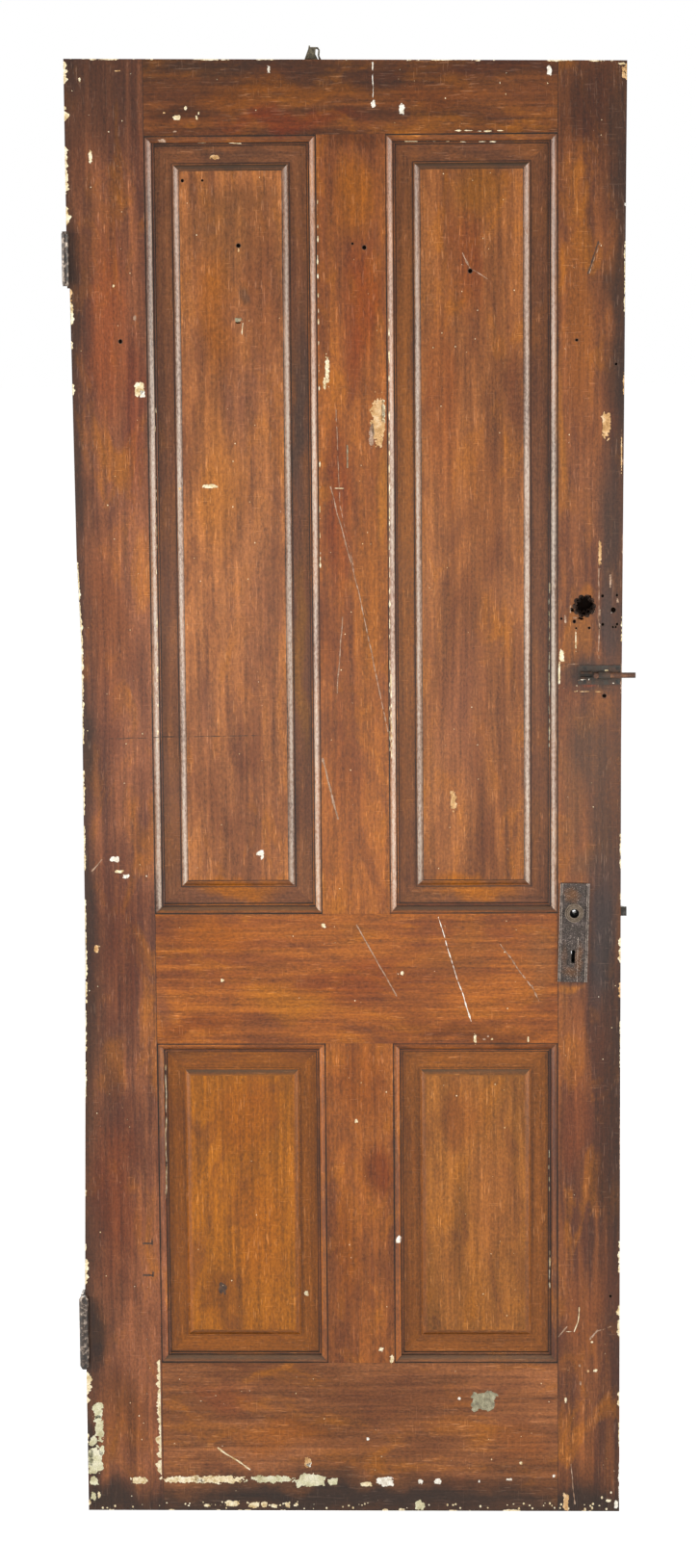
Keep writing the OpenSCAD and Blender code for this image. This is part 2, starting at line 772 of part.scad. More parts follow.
module lock_front() {
  color(iron) difference() {
    block([lock_x - front_t, lock_x], [-front_w / 2, front_w / 2], [front_z0, front_z1]);
    head_slot(latch_z, latch_t / 2, [lock_x - front_t - over, lock_x + over]);
    head_slot(bolt_z, bolt_half_t, [lock_x - front_t - over, lock_x + over]);
    front_screw_places() screw_hole(screw_l, screw_r, screw_head_r);
  }
}

module lock_front_screws() {
  color(iron) front_screw_places() wood_screw(screw_l, screw_r, screw_head_r);
}

// The hub turns in the case and the cap, and its arms draw the latch back
module lock_hub() {
  arm_y = [-cavity_y + 0.7, 0.2];
  color(iron) difference() {
    union() {
      across(hub_x, knob_z, hub_r - lock_clear, case_t);
      block([hub_x - hub_r / 2 + 0.4, hub_x + hub_r / 2 - 0.4], arm_y, [knob_z - hub_arm, knob_z + hub_arm]);
    }
    translate([hub_x, 0, knob_z]) cube([hub_square, 2 * case_t, hub_square], center = true);
  }
}

// Latch: a bevelled head, a stem through the abutment, a bridge and two arms with lugs
module latch_bolt() {
  tip_x = lock_x + latch_out;
  tip_t = 3;
  arm_y = [0.6, cavity_y - 0.7];
  color(iron) {
    difference() {
      block([latch_back_x, tip_x], [-latch_t / 2, latch_t / 2], latch_z);
      translate([0, 0, latch_z[0] - over]) linear_extrude(latch_h + 2 * over) polygon([
        [lock_x + 0.5, latch_t / 2], [tip_x + over, latch_t / 2],
        [tip_x + over, -latch_t / 2 + tip_t], [tip_x, -latch_t / 2 + tip_t]
      ]);
    }
    translate([bridge_x, 0, knob_z]) rotate([0, 90, 0])
      cylinder(h = latch_back_x - bridge_x + over, r = stem_r);
    block([bridge_x, bridge_x + bridge_t], arm_y, [knob_z - arm_z[1], knob_z + arm_z[1]]);
    block([bridge_x, bridge_x + bridge_t], [-stem_r, arm_y[1]], [knob_z - stem_r, knob_z + stem_r]);
    for (side = [-1, 1]) {
      z = side > 0 ? [knob_z + arm_z[0], knob_z + arm_z[1]] : [knob_z - arm_z[1], knob_z - arm_z[0]];
      block([lug_x1 - lug_t, bridge_x + bridge_t], arm_y, z);
      block([lug_x1 - lug_t, lug_x1], [-cavity_y + 0.7, arm_y[1]], z);
    }
  }
}

// A coil spring as one swept tube, along X
module coil_spring(x0, x1, mean_r, wire_r, turns) {
  sides = 6;
  steps = 10;
  rings = turns * steps;
  length = x1 - x0 - 2 * wire_r;
  function ring_point(i, j) = let (a = 360 * i / steps, b = 360 * j / sides, r = mean_r + wire_r * cos(b))
    [x0 + wire_r + length * i / rings + wire_r * sin(b), r * cos(a), r * sin(a)];
  points = [for (i = [0 : rings], j = [0 : sides - 1]) ring_point(i, j)];
  walls = [for (i = [0 : rings - 1], j = [0 : sides - 1]) let (k = (j + 1) % sides)
    [i * sides + j, i * sides + k, (i + 1) * sides + k, (i + 1) * sides + j]];
  ends = [[for (j = [sides - 1 : -1 : 0]) j], [for (j = [0 : sides - 1]) rings * sides + j]];
  polyhedron(points, concat(walls, ends), convexity = 6);
}

module latch_spring() {
  wire_r = 0.5;
  color(steel) translate([0, 0, knob_z])
    coil_spring(abut_x + abut_t + lock_clear, latch_back_x - lock_clear, stem_r + 3 * wire_r, wire_r, 4);
}

// Dead bolt with the key's talon below, a guide slot and two detent notches above
notch_r = 2.2;
notch_x = hub_x + 2;
module dead_bolt() {
  talon_w = 12;
  talon_h = 5;
  slot_half = guide_post_r + 0.3;
  color(iron) difference() {
    block([hub_x - 14, lock_x], [-bolt_half_t, bolt_half_t], bolt_z);
    block([hub_x - 1, hub_x - 1 + talon_w], [-cavity_y, cavity_y], [bolt_z0 - over, bolt_z0 + talon_h]);
    block([guide_post_x - slot_half - bolt_throw, guide_post_x + slot_half], [-cavity_y, cavity_y],
          [guide_post_z - slot_half, guide_post_z + slot_half]);
    for (x = [notch_x, notch_x - bolt_throw]) across(x, bolt_z[1], notch_r, case_t);
  }
}

// A flat spring riveted to the case's back wall, with a nib in the bolt's notch
module dead_bolt_spring() {
  strip_t = 0.8;
  nib_r = notch_r - 0.3;
  rise = 4;
  color(steel) translate([0, 0, bolt_z[1]]) rotate([90, 0, 0]) linear_extrude(2 * bolt_half_t - 2, center = true) {
    translate([case_x0 + case_wall, rise]) square([notch_x + 8 - case_x0 - case_wall, strip_t]);
    translate([case_x0 + case_wall, rise]) square([strip_t, 5]);
    translate([notch_x - strip_t / 2, 0]) square([strip_t, rise + strip_t / 2]);
    translate([notch_x, 0.4]) circle(r = nib_r);
  }
}

// Slide bolt on the face above the lock

slide_x1 = lock_edge(slide_z);
slide_x0 = slide_x1 - slide_plate_l;
rod_y = -half_t - slide_plate_t - rod_r - lock_clear;
guide_r = rod_r + guide_wall;
rear_guide_x = slide_x0 + 3;
fore_guide_x = slide_x1 - 16 - guide_l;
slide_knob_x = fore_guide_x - slide_knob_r - 0.3;
slide_travel = rod_out + 1.4;
slide_stem_r = slide_knob_r * 0.6;
slide_screw_in = 5;

module slide_screw_places() {
  for (x = [slide_x0 + slide_screw_in + guide_l / 4, slide_x1 - slide_screw_in - 1], side = [-1, 1])
    translate([x, -half_t - slide_plate_t, slide_z + side * (slide_plate_h / 2 - slide_screw_in + 1.2)])
      rotate([90, 0, 0]) children();
}

// One guide: a barrel on the plate, bored for the rod
module slide_guide(x) {
  translate([x, rod_y, slide_z]) rotate([0, 90, 0]) cylinder(h = guide_l, r = guide_r);
  block([x, x + guide_l], [rod_y, -half_t], [slide_z - guide_r, slide_z + guide_r]);
}

module slide_bolt_plate() {
  slot = slide_stem_r + 0.5;
  color(iron) difference() {
    union() {
      block([slide_x0, slide_x1], [-half_t - slide_plate_t, -half_t],
            [slide_z - slide_plate_h / 2, slide_z + slide_plate_h / 2]);
      slide_guide(rear_guide_x);
      slide_guide(fore_guide_x);
    }
    translate([slide_x0 - over, rod_y, slide_z]) rotate([0, 90, 0])
      cylinder(h = slide_plate_l + 2 * over, r = rod_r + lock_clear);
    // Slot for the knob's stem in the rear guide
    block([rear_guide_x - over, rear_guide_x + guide_l + over], [rod_y - 2 * guide_r, rod_y],
          [slide_z - slot, slide_z + slot]);
    slide_screw_places() screw_hole(small_screw_l, small_screw_r, small_head_r);
  }
}

module slide_bolt_rod() {
  color(bronze) {
    translate([slide_x0 + slide_travel + 2, rod_y, slide_z]) rotate([0, 90, 0])
      cylinder(h = slide_x1 + rod_out - slide_x0 - slide_travel - 2, r = rod_r);
    translate([slide_knob_x, rod_y, slide_z]) rotate([90, 0, 0]) {
      cylinder(h = guide_r + 2, r = slide_stem_r);
      translate([0, 0, guide_r + 1]) cylinder(h = 2.4, r = slide_knob_r);
    }
  }
}

module slide_bolt_screws() {
  color(steel) slide_screw_places() wood_screw(small_screw_l, small_screw_r, small_head_r);
}

// Hinges: loose-joint butts, the door's knuckle above and the frame's knuckle with the pin below

// Screw places on a leaf as [across from the pin's axis, up from the hinge's middle]
screw_near = pin_out + 9;
screw_far = pin_out + 22;
upper_screws = [[screw_far, upper_hinge_h / 2 - 11], [screw_far, 11 - upper_hinge_h / 2], [screw_near, 0]];
lower_screws = [[screw_far, lower_hinge_h / 2 - 12], [screw_far, 12 - lower_hinge_h / 2],
                [screw_near, lower_hinge_h / 6], [screw_near, -lower_hinge_h / 6]];

module hinge_screw_places(z, h, list) {
  for (p = list) translate([-half_w, pin_y + p[0], z + h / 2 + p[1]]) rotate([0, -90, 0]) children();
}

module hinge_gain(z, h) {
  block([-half_w - over, -half_w + hinge_leaf_t], [-half_t - over, pin_y + hinge_leaf_reach + pin_out],
        [z, z + h]);
}

// One leaf with its half of the knuckle. way is 1 for the door's leaf and -1 for the frame's.
module hinge_leaf(z, h, knuckle_r, pin_r, split, way, list) {
  z_low = way > 0 ? z + split + knuckle_gap / 2 : z;
  z_high = way > 0 ? z + h : z + split - knuckle_gap / 2;
  tip_h = knuckle_r * 0.7;
  tip_r = knuckle_r * 0.6;
  face = hinge_gap / 2;
  leaf_x = way > 0 ? [pin_x + face, pin_x + face + hinge_leaf_t] : [pin_x - face - hinge_leaf_t, pin_x - face];
  difference() {
    union() {
      // The leaf, and the web that joins it to its own knuckle
      block(leaf_x, [-half_t, pin_y + hinge_leaf_reach + pin_out], [z, z + h]);
      block(leaf_x, [pin_y, -half_t + hinge_leaf_t], [z_low + (way > 0 ? 0 : tip_h), z_high - (way > 0 ? tip_h : 0)]);
      // The knuckle, drawn in at its outer end
      translate([pin_x, pin_y, 0]) rotate_extrude() polygon(
        way > 0
        ? [[0, z_low], [knuckle_r, z_low], [knuckle_r, z_high - tip_h], [tip_r, z_high], [0, z_high]]
        : [[0, z_low], [tip_r, z_low], [knuckle_r, z_low + tip_h], [knuckle_r, z_high], [0, z_high]]
      );
    }
    translate([pin_x, pin_y, z + tip_h]) cylinder(h = h - 2 * tip_h, r = pin_r + pin_clear);
    for (p = list) translate([pin_x + way * face, pin_y + p[0], z + h / 2 + p[1]])
      rotate([0, -90 * way, 0])
        screw_hole(screw_l, screw_r, screw_head_r, way > 0 ? screw_clear : frame_screw_clear);
  }
}

module hinge_pin(z, h, knuckle_r, pin_r) {
  tip_h = knuckle_r * 0.7;
  translate([pin_x, pin_y, z + tip_h]) cylinder(h = h - 2 * tip_h - knuckle_gap, r = pin_r);
}

upper_pin_r = upper_knuckle_r * 0.5;
lower_pin_r = lower_knuckle_r * 0.5;
upper_split = upper_hinge_h / 2;
lower_split = lower_hinge_h * 0.44;

module upper_hinge_door_leaf() {
  color(iron) hinge_leaf(upper_hinge_z, upper_hinge_h, upper_knuckle_r, upper_pin_r, upper_split, 1, upper_screws);
}
module upper_hinge_frame_leaf() {
  color(iron) hinge_leaf(upper_hinge_z, upper_hinge_h, upper_knuckle_r, upper_pin_r, upper_split, -1, upper_screws);
}
module upper_hinge_pin() {
  color(steel) hinge_pin(upper_hinge_z, upper_hinge_h, upper_knuckle_r, upper_pin_r);
}
module upper_hinge_screws() {
  color(iron) hinge_screw_places(upper_hinge_z, upper_hinge_h, upper_screws)
    wood_screw(screw_l, screw_r, screw_head_r);
}
module lower_hinge_door_leaf() {
  color(iron) hinge_leaf(lower_hinge_z, lower_hinge_h, lower_knuckle_r, lower_pin_r, lower_split, 1, lower_screws);
}
module lower_hinge_frame_leaf() {
  color(iron) hinge_leaf(lower_hinge_z, lower_hinge_h, lower_knuckle_r, lower_pin_r, lower_split, -1, lower_screws);
}
module lower_hinge_pin() {
  color(steel) hinge_pin(lower_hinge_z, lower_hinge_h, lower_knuckle_r, lower_pin_r);
}
module lower_hinge_screws() {
  color(iron) hinge_screw_places(lower_hinge_z, lower_hinge_h, lower_screws)
    wood_screw(screw_l, screw_r, screw_head_r);
}

// A bent iron clip left on the top edge: a strap with a folded tab in front and a small eye at one side
module top_clip() {
  foot = 11.5;
  color(iron) translate([clip_x, 0, leaf_h - top_edge_fall * (clip_x + half_w) / leaf_w])
    rotate([0, top_fall_angle, 0]) {
    rotate([90, 0, 0]) linear_extrude(clip_d, center = true) difference() {
      polygon([[-foot, 0], [-foot * 0.6, clip_h * 0.75], [-foot * 0.45, clip_h], [foot * 0.6, clip_h],
               [foot * 0.8, clip_h * 0.8], [foot * 0.75, clip_h * 0.35], [foot, 0]]);
      polygon([[-foot + 1.2 * clip_t, -over], [-foot * 0.6 + clip_t, clip_h * 0.7], [-foot * 0.4 + clip_t / 2, clip_h - clip_t],
               [foot * 0.5, clip_h - clip_t], [foot * 0.8 - clip_t, clip_h * 0.75],
               [foot * 0.75 - clip_t, clip_h * 0.35], [foot - 1.4 * clip_t, -over]]);
    }
    // Folded tab in front
    translate([0, -clip_d / 2, 0]) rotate([90, 0, 0]) linear_extrude(clip_t) polygon([
      [-foot * 0.75, 0], [-foot * 0.5, clip_h], [foot * 0.35, clip_h], [foot * 0.3, clip_h * 0.45], [foot * 0.65, 0]
    ]);
    // Broken nib on the top
    block([-foot * 0.5, -foot * 0.5 + clip_t], [-clip_d / 2, -clip_d / 4], [clip_h - clip_t / 2, clip_h + clip_t]);
  }
}

hinge_stile();
lock_stile();
top_rail();
lock_rail();
bottom_rail();
upper_muntin();
lower_muntin();
upper_left_panel();
upper_right_panel();
lower_left_panel();
lower_right_panel();
tenon_wedges();
front_escutcheon();
front_escutcheon_screws();
lock_case();
lock_cap();
lock_cap_screw();
lock_front();
lock_front_screws();
lock_hub();
latch_bolt();
latch_spring();
dead_bolt();
dead_bolt_spring();
slide_bolt_plate();
slide_bolt_rod();
slide_bolt_screws();
upper_hinge_door_leaf();
upper_hinge_frame_leaf();
upper_hinge_pin();
upper_hinge_screws();
lower_hinge_door_leaf();
lower_hinge_frame_leaf();
lower_hinge_pin();
lower_hinge_screws();
top_clip();
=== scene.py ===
import math
from functools import partial

import bmesh
import bpy
from mathutils import Euler, Matrix, Vector, noise
from mathutils.bvhtree import BVHTree


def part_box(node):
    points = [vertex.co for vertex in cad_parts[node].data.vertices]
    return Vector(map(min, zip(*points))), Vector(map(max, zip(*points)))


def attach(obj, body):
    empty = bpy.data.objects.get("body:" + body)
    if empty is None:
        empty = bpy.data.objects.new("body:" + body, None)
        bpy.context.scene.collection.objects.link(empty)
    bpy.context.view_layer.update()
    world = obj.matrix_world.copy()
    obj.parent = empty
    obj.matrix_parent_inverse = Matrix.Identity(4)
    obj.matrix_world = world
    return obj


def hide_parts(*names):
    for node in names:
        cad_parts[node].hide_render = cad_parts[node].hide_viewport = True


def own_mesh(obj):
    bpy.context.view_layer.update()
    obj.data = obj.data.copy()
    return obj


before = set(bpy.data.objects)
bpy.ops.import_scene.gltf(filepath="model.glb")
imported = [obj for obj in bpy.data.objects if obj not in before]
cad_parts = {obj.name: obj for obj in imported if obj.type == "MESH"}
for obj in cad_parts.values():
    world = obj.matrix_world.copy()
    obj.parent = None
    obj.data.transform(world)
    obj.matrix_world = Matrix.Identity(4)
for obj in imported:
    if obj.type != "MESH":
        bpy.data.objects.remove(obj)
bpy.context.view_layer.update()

MM = 0.001

# The camera stands a little right of the door's middle, at head height, and looks slightly down.
PHOTO_W = 727
PHOTO_H = 1628
SENSOR = 36.0
LENS = 84.019
CAMERA_AT = Vector((0.1517, -5.0418, 1.7249))
CAMERA_TURN = Euler([math.radians(a) for a in (82.2912, 0.4307, 1.6726)])
# On the door's face a photo pixel is about this many millimetres.
PIXEL_MM = 1.33

# The plane of the stiles' and rails' front faces.
FACE = -0.0175
# The leaf's own measures, in millimetres.
LEAF_HALF = 381
LEAF_TOP = 2036
TOP_FALL = 9
UPPER_OPENING = (862, 1932)
LOWER_OPENING = (217, 678)
LEFT_OPENING = (-274, -40)
RIGHT_OPENING = (54, 288)
LOWER_SHIFT = 3
# From the opening's edge to the moulding's groove, its inner step, the panel, its slope and its field.
QUIRK_AT = 0.8
STEP_AT = 10.4
PANEL_AT = 12.6
SLOPE_AT = 37
FIELD_AT = 47
# The knob's axis, the key's axis and the plate's lean.
KNOB_X = 310.5
KNOB_Z = 862.5
KEY_X = 309.05
KEY_Z = 807
PLATE_LEAN = math.radians(1.5)
# The old night latch's hole.
OLD_HOLE = (323.7, 1290)


def photo_to_face(px, py):
    """The point of the front faces' plane that the photograph shows at that pixel."""
    pixel = SENSOR / PHOTO_H / LENS
    way = CAMERA_TURN.to_matrix() @ Vector(((px - PHOTO_W / 2) * pixel, (PHOTO_H / 2 - py) * pixel, -1.0))
    return CAMERA_AT + way * ((FACE - CAMERA_AT.y) / way.y)


def linear(code):
    """An sRGB hex value as a linear colour."""
    parts = [int(code[i:i + 2], 16) / 255 for i in (1, 3, 5)]
    return [c / 12.92 if c <= 0.04045 else ((c + 0.055) / 1.055) ** 2.4 for c in parts] + [1.0]


# The kinds of node that come most often, and what a mix of two colours needs.
MATH = "ShaderNodeMath"
VECTOR_MATH = "ShaderNodeVectorMath"
MIX = "ShaderNodeMix"
RANGE = "ShaderNodeMapRange"
NOISE = "ShaderNodeTexNoise"
MAPPING = "ShaderNodeMapping"
COLOURS = {"out": 2, "data_type": "RGBA"}


def add(tree, kind, *values, out=0, **settings):
    """Adds a node with its settings and links, and gives one of its outputs, or the node if out is None.

    The values fill the node's inputs in order. A dict fills them by number or by name.
    """
    made = tree.nodes.new(kind)
    for key, value in settings.items():
        setattr(made, key, value)
    for at, value in enumerate(values):
        for key, given in (value if isinstance(value, dict) else {at: value}).items():
            if isinstance(given, bpy.types.NodeSocket):
                tree.links.new(given, made.inputs[key])
            else:
                made.inputs[key].default_value = given
    return made if out is None else made.outputs[out]


def fresh_material(name):
    """A material with an empty tree, and the function that adds a node to it."""
    made = bpy.data.materials.new(name)
    made.use_nodes = True
    made.node_tree.nodes.clear()
    return made, partial(add, made.node_tree)


def object_place(node, step_mm=1.0):
    """The coordinates, and the place on the piece counted in steps of that many millimetres."""
    coords = node("ShaderNodeTexCoord", out=None).outputs
    return coords, node(VECTOR_MATH, {0: coords["Object"], "Scale": 1000.0 / step_mm}, operation="SCALE")


def ellipse(node, place, at, half):
    """How far a place on the face is from the ellipse's middle, where 1 is its edge."""
    inside = node(MAPPING, {"Vector": place, "Location": (at[0], 0.0, at[1]),
                            "Scale": (half[0], 1e6, half[1])}, vector_type="TEXTURE")
    return node(VECTOR_MATH, inside, out="Value", operation="LENGTH")


def dress(member, material):
    """Gives a carried-over node its material."""
    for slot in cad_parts[member].material_slots:
        slot.material = material


# Painted wood

# Shades of the painted graining.
ORANGE = "#B0680E"
RED = "#5C2E18"
BROWN = "#643B24"
LOW_BROWN = "#7E430E"
DARK = "#2B1B12"
GREASE = "#332A29"
DUST = "#463C31"
# The corner colour is painted shade, with grime, for corners, grooves and dark joints.
CORNER_SHADE_AND_GRIME = "#1C120C"
# The bloom colour is a painted reflection of the side lamps.
SIDE_SHEEN = "#A59688"
# The pit colour is painted shade for the insides of holes.
HOLE_SHADE = "#140D0A"
EDGE_PAINT = "#2A1B13"
EDGE_PRIMER = "#8E8069"
EDGE_WOOD = "#5A3E24"

# The graining's streaks are about 16 mm wide and 260 mm long, in clouds of about 150 mm.
STREAK = (1 / 16, 1 / 260, 1 / 16)
CLOUD = (1 / 150, 1 / 380, 1 / 150)
# Brush marks are about 5 mm apart.
BRUSH = (1 / 5, 1 / 150, 1 / 5)
# The crackle's lines are really half a millimetre wide: they are drawn about 1 mm wide, to show.
CRACK_ALONG = (1 / 1.9, 1 / 22, 1 / 4)
CRACK_ACROSS = (1 / 20, 1 / 1.9, 1 / 4)
# How much of the paler colour a crack shows.
CRACKS = 0.8
# Blotches of other stain are about 46 mm wide and 110 mm long, the paint's fine mottle 3 mm and 5 mm.
BLOTCH = (1 / 46, 1 / 110, 1 / 46)
MOTTLE = (1 / 2.6, 1 / 5, 1 / 2.6)
# A smudge's outline wanders by up to 30 mm across and 45 mm up, in waves of about 70 and 130 mm.
WANDER = (1 / 70, 1 / 70, 1 / 130)
WANDER_BY = (60.0, 0.0, 90.0)
# Worn patches on the leaf's outer edges are about 14 mm wide and 60 mm long.
EDGE_WEAR = (1 / 14, 1 / 60, 1 / 14)
# Where handling begins to darken the leaf and where it is darkest: to the sides, the top and the foot.
HANDLED_SIDE = (338.0, 382.0)
HANDLED_TOP = (1920.0, 2040.0)
HANDLED_FOOT = (64.0, 14.0)
# Only faces this near to the leaf's outline count as its edges: at the sides and at the ends.
EDGE_STRIP = 17
END_STRIP = 12
# A hole's wall is painted near black as shade where it is nearer to the leaf's middle plane than this.
IN_HOLE = 16.6
# Shade is painted, with grime, this near to a corner.
CORNER_SHADE_REACH = 7 * MM
# A painted reflection of the side lamps, a grey sheen on sideways faces, sets in above the lock rail, between
# two heights, and weakens towards the top, between two others.
SIDE_SHEEN_FROM = (700.0, 900.0)
SIDE_SHEEN_WEAKENS = (1920.0, 1500.0)


def grain_noise(node, grain, size, detail, rough=0.55, distortion=0.0):
    """Noise that is stretched along the grain, in waves of that size."""
    scaled = node(VECTOR_MATH, grain, size, operation="MULTIPLY")
    return node(NOISE, {"Vector": scaled, "Scale": 1.0, "Detail": detail, "Roughness": rough,
                        "Distortion": distortion})


def panel_grain(node, x, z, panel, upright, lying):
    """A raised panel's grain, which runs along its four margins and meets at mitres.

    With it comes how far a place lies outside the panel's field.
    """
    outside = []
    for value, (low, high) in zip((x, z), panel):
        off = node(MATH, value, (low + high) / 2, operation="SUBTRACT")
        off = node(MATH, off, operation="ABSOLUTE")
        outside.append(node(MATH, off, (high - low) / 2 - FIELD_AT, operation="SUBTRACT"))
    side = node(MATH, outside[0], 0.0, operation="MAXIMUM")
    crosswise = node(MATH, outside[1], side, operation="GREATER_THAN")
    grain = node(MIX, {0: crosswise, 4: upright, 5: lying}, out=1, data_type="VECTOR")
    return grain, node(MATH, *outside, operation="MAXIMUM")


def combed_paint(node, light, deep, cloud, streak, blotch):
    """The graining's two shades, with orange and reddish blotches."""
    tone = node(MATH, cloud, streak, operation="ADD")
    tone = node(RANGE, tone, 0.8, 1.2, interpolation_type="SMOOTHSTEP")
    colour = node(MIX, {0: tone, 6: linear(deep), 7: linear(light)}, **COLOURS)
    for none, most, shade in ((0.52, 0.68, ORANGE), (0.48, 0.34, RED)):
        share = node(RANGE, blotch, none, most, 0.0, 0.5)
        colour = node(MIX, {0: share, 6: colour, 7: linear(shade)}, **COLOURS)
    return colour


def smudged(node, colour, place, smudges):
    """Soft patches where the photograph shows them, with uneven edges, and the dark of hands and damp."""
    wander = node(VECTOR_MATH, place, WANDER, operation="MULTIPLY")
    wander = node(NOISE, {"Vector": wander, "Scale": 1.0, "Detail": 3.0}, out=1)
    wander = node(VECTOR_MATH, wander, (0.5, 0.5, 0.5), operation="SUBTRACT")
    wander = node(VECTOR_MATH, wander, WANDER_BY, place, operation="MULTIPLY_ADD")
    for px, py, half_w, half_h, shade, strength in smudges:
        middle = photo_to_face(px, py) / MM
        inside = ellipse(node, wander, (middle.x, middle.z), (half_w * PIXEL_MM, half_h * PIXEL_MM))
        inside = node(RANGE, inside, 0.25, 1.1, strength, 0.0, interpolation_type="SMOOTHSTEP")
        colour = node(MIX, {0: inside, 6: colour, 7: linear(shade)}, **COLOURS)
    across, _, up = node("ShaderNodeSeparateXYZ", wander, out=None).outputs
    handled = node(MATH, across, operation="ABSOLUTE")
    handled = node(RANGE, handled, *HANDLED_SIDE, 0.0, 0.72)
    for band, most in ((HANDLED_TOP, 0.45), (HANDLED_FOOT, 0.85)):
        at_end = node(RANGE, up, *band, 0.0, most)
        handled = node(MATH, handled, at_end, operation="MAXIMUM")
    return node(MIX, {0: handled, 6: colour, 7: linear(DARK)}, **COLOURS)


def crackle(node, pattern, blotch):
    """Long fine lines where the varnish has cracked, along the grain and across it, in some places more."""
    spread = node(RANGE, blotch, 0.42, 0.60, 0.3, 1.0)
    along = node(RANGE, pattern(CRACK_ALONG, 1.0, 0.5), 0.64, 0.71, 0.0, CRACKS)
    across = node(RANGE, pattern(CRACK_ACROSS, 1.0, 0.5), 0.67, 0.74, 0.0, CRACKS * 0.6)
    lines = node(MATH, along, across, operation="MAXIMUM")
    return node(MATH, lines, spread, operation="MULTIPLY")


def shaded_and_grimy(node, colour, pattern, dark_lines):
    """Painted shade, with grime, in the corners of the mouldings, and the dark lines beside them."""
    shelter = node("ShaderNodeAmbientOcclusion", {"Distance": CORNER_SHADE_REACH}, out="AO", samples=6)
    corner_shade = node(RANGE, shelter, 0.34, 0.70, 0.96, 0.0)
    colour = node(MIX, {0: corner_shade, 6: colour, 7: linear(CORNER_SHADE_AND_GRIME)}, **COLOURS)
    broken = node(RANGE, pattern(BLOTCH, 5.0, 0.7), 0.36, 0.54, 0.45, 0.95)
    for value, at, half in dark_lines:
        line = node(MATH, value, at, half, operation="COMPARE")
        line = node(MATH, line, broken, operation="MULTIPLY")
        colour = node(MIX, {0: line, 6: colour, 7: linear(CORNER_SHADE_AND_GRIME)}, **COLOURS)
    return colour


def painted_side_sheen(node, colour, z, sideways, marks):
    """A painted reflection: a pale grey sheen on the faces that look sideways, on the upper panels' upright
    mouldings.
    """
    sheen = node(RANGE, sideways, 0.25, 0.5)
    upper = node(RANGE, z, *SIDE_SHEEN_FROM)
    streaked = node(RANGE, marks, 0.75, 1.2, 0.08, 0.85)
    weaker = node(RANGE, z, *SIDE_SHEEN_WEAKENS, 0.3, 1.0)
    for share in (upper, streaked, weaker):
        sheen = node(MATH, sheen, share, operation="MULTIPLY")
    return node(MIX, {0: sheen, 6: colour, 7: linear(SIDE_SHEEN)}, **COLOURS)


def worn_edges(node, colour, pattern, value, x, z, sideways, facing_z):
    """The leaf's outer edges, which have lost much of their paint."""
    far_out = node(MATH, x, operation="ABSOLUTE")
    far_out = node(MATH, far_out, LEAF_HALF - EDGE_STRIP, operation="GREATER_THAN")
    sideways = node(MATH, sideways, far_out, operation="MULTIPLY")
    endways = node(MATH, facing_z, operation="ABSOLUTE")
    from_middle = node(MATH, z, LEAF_TOP / 2, operation="SUBTRACT")
    from_middle = node(MATH, from_middle, operation="ABSOLUTE")
    from_middle = node(MATH, from_middle, LEAF_TOP / 2 - END_STRIP, operation="GREATER_THAN")
    endways = node(MATH, endways, from_middle, operation="MULTIPLY")
    edge = node(MATH, sideways, endways, operation="MAXIMUM")
    edge = node(MATH, edge, 0.6, operation="GREATER_THAN")
    worn = pattern(EDGE_WEAR, 5.0, 0.65)
    bare = node(RANGE, worn, 0.62, 0.67)
    worn_colour = node(MIX, {0: bare, 6: linear(EDGE_WOOD), 7: linear(EDGE_PRIMER)}, **COLOURS)
    painted = node(RANGE, worn, 0.54, 0.60, 1.0, 0.0)
    worn_colour = node(MIX, {0: painted, 6: worn_colour, 7: linear(EDGE_PAINT)}, **COLOURS)
    worn_colour = node(VECTOR_MATH, {0: worn_colour, "Scale": value}, operation="SCALE")
    return node(MIX, {0: edge, 6: colour, 7: worn_colour}, **COLOURS)


def shaded_holes(node, paint, place, y, bores):
    """The paint, with the insides of the holes painted near black as shade."""
    inward = node(MATH, y, operation="ABSOLUTE")
    inward = node(MATH, inward, IN_HOLE, operation="LESS_THAN")
    hollow = 0.0
    for bore_x, bore_z, bore_r in bores:
        away = ellipse(node, place, (bore_x, bore_z), (bore_r, bore_r))
        away = node(RANGE, away, 0.98, 1.0, 0.93, 0.0)
        away = node(MATH, away, inward, operation="MULTIPLY")
        hollow = node(MATH, hollow, away, operation="MAXIMUM")
    shade_in_hole = node("ShaderNodeBsdfDiffuse", {"Color": linear(HOLE_SHADE)})
    return node("ShaderNodeMixShader", hollow, paint, shade_in_hole)


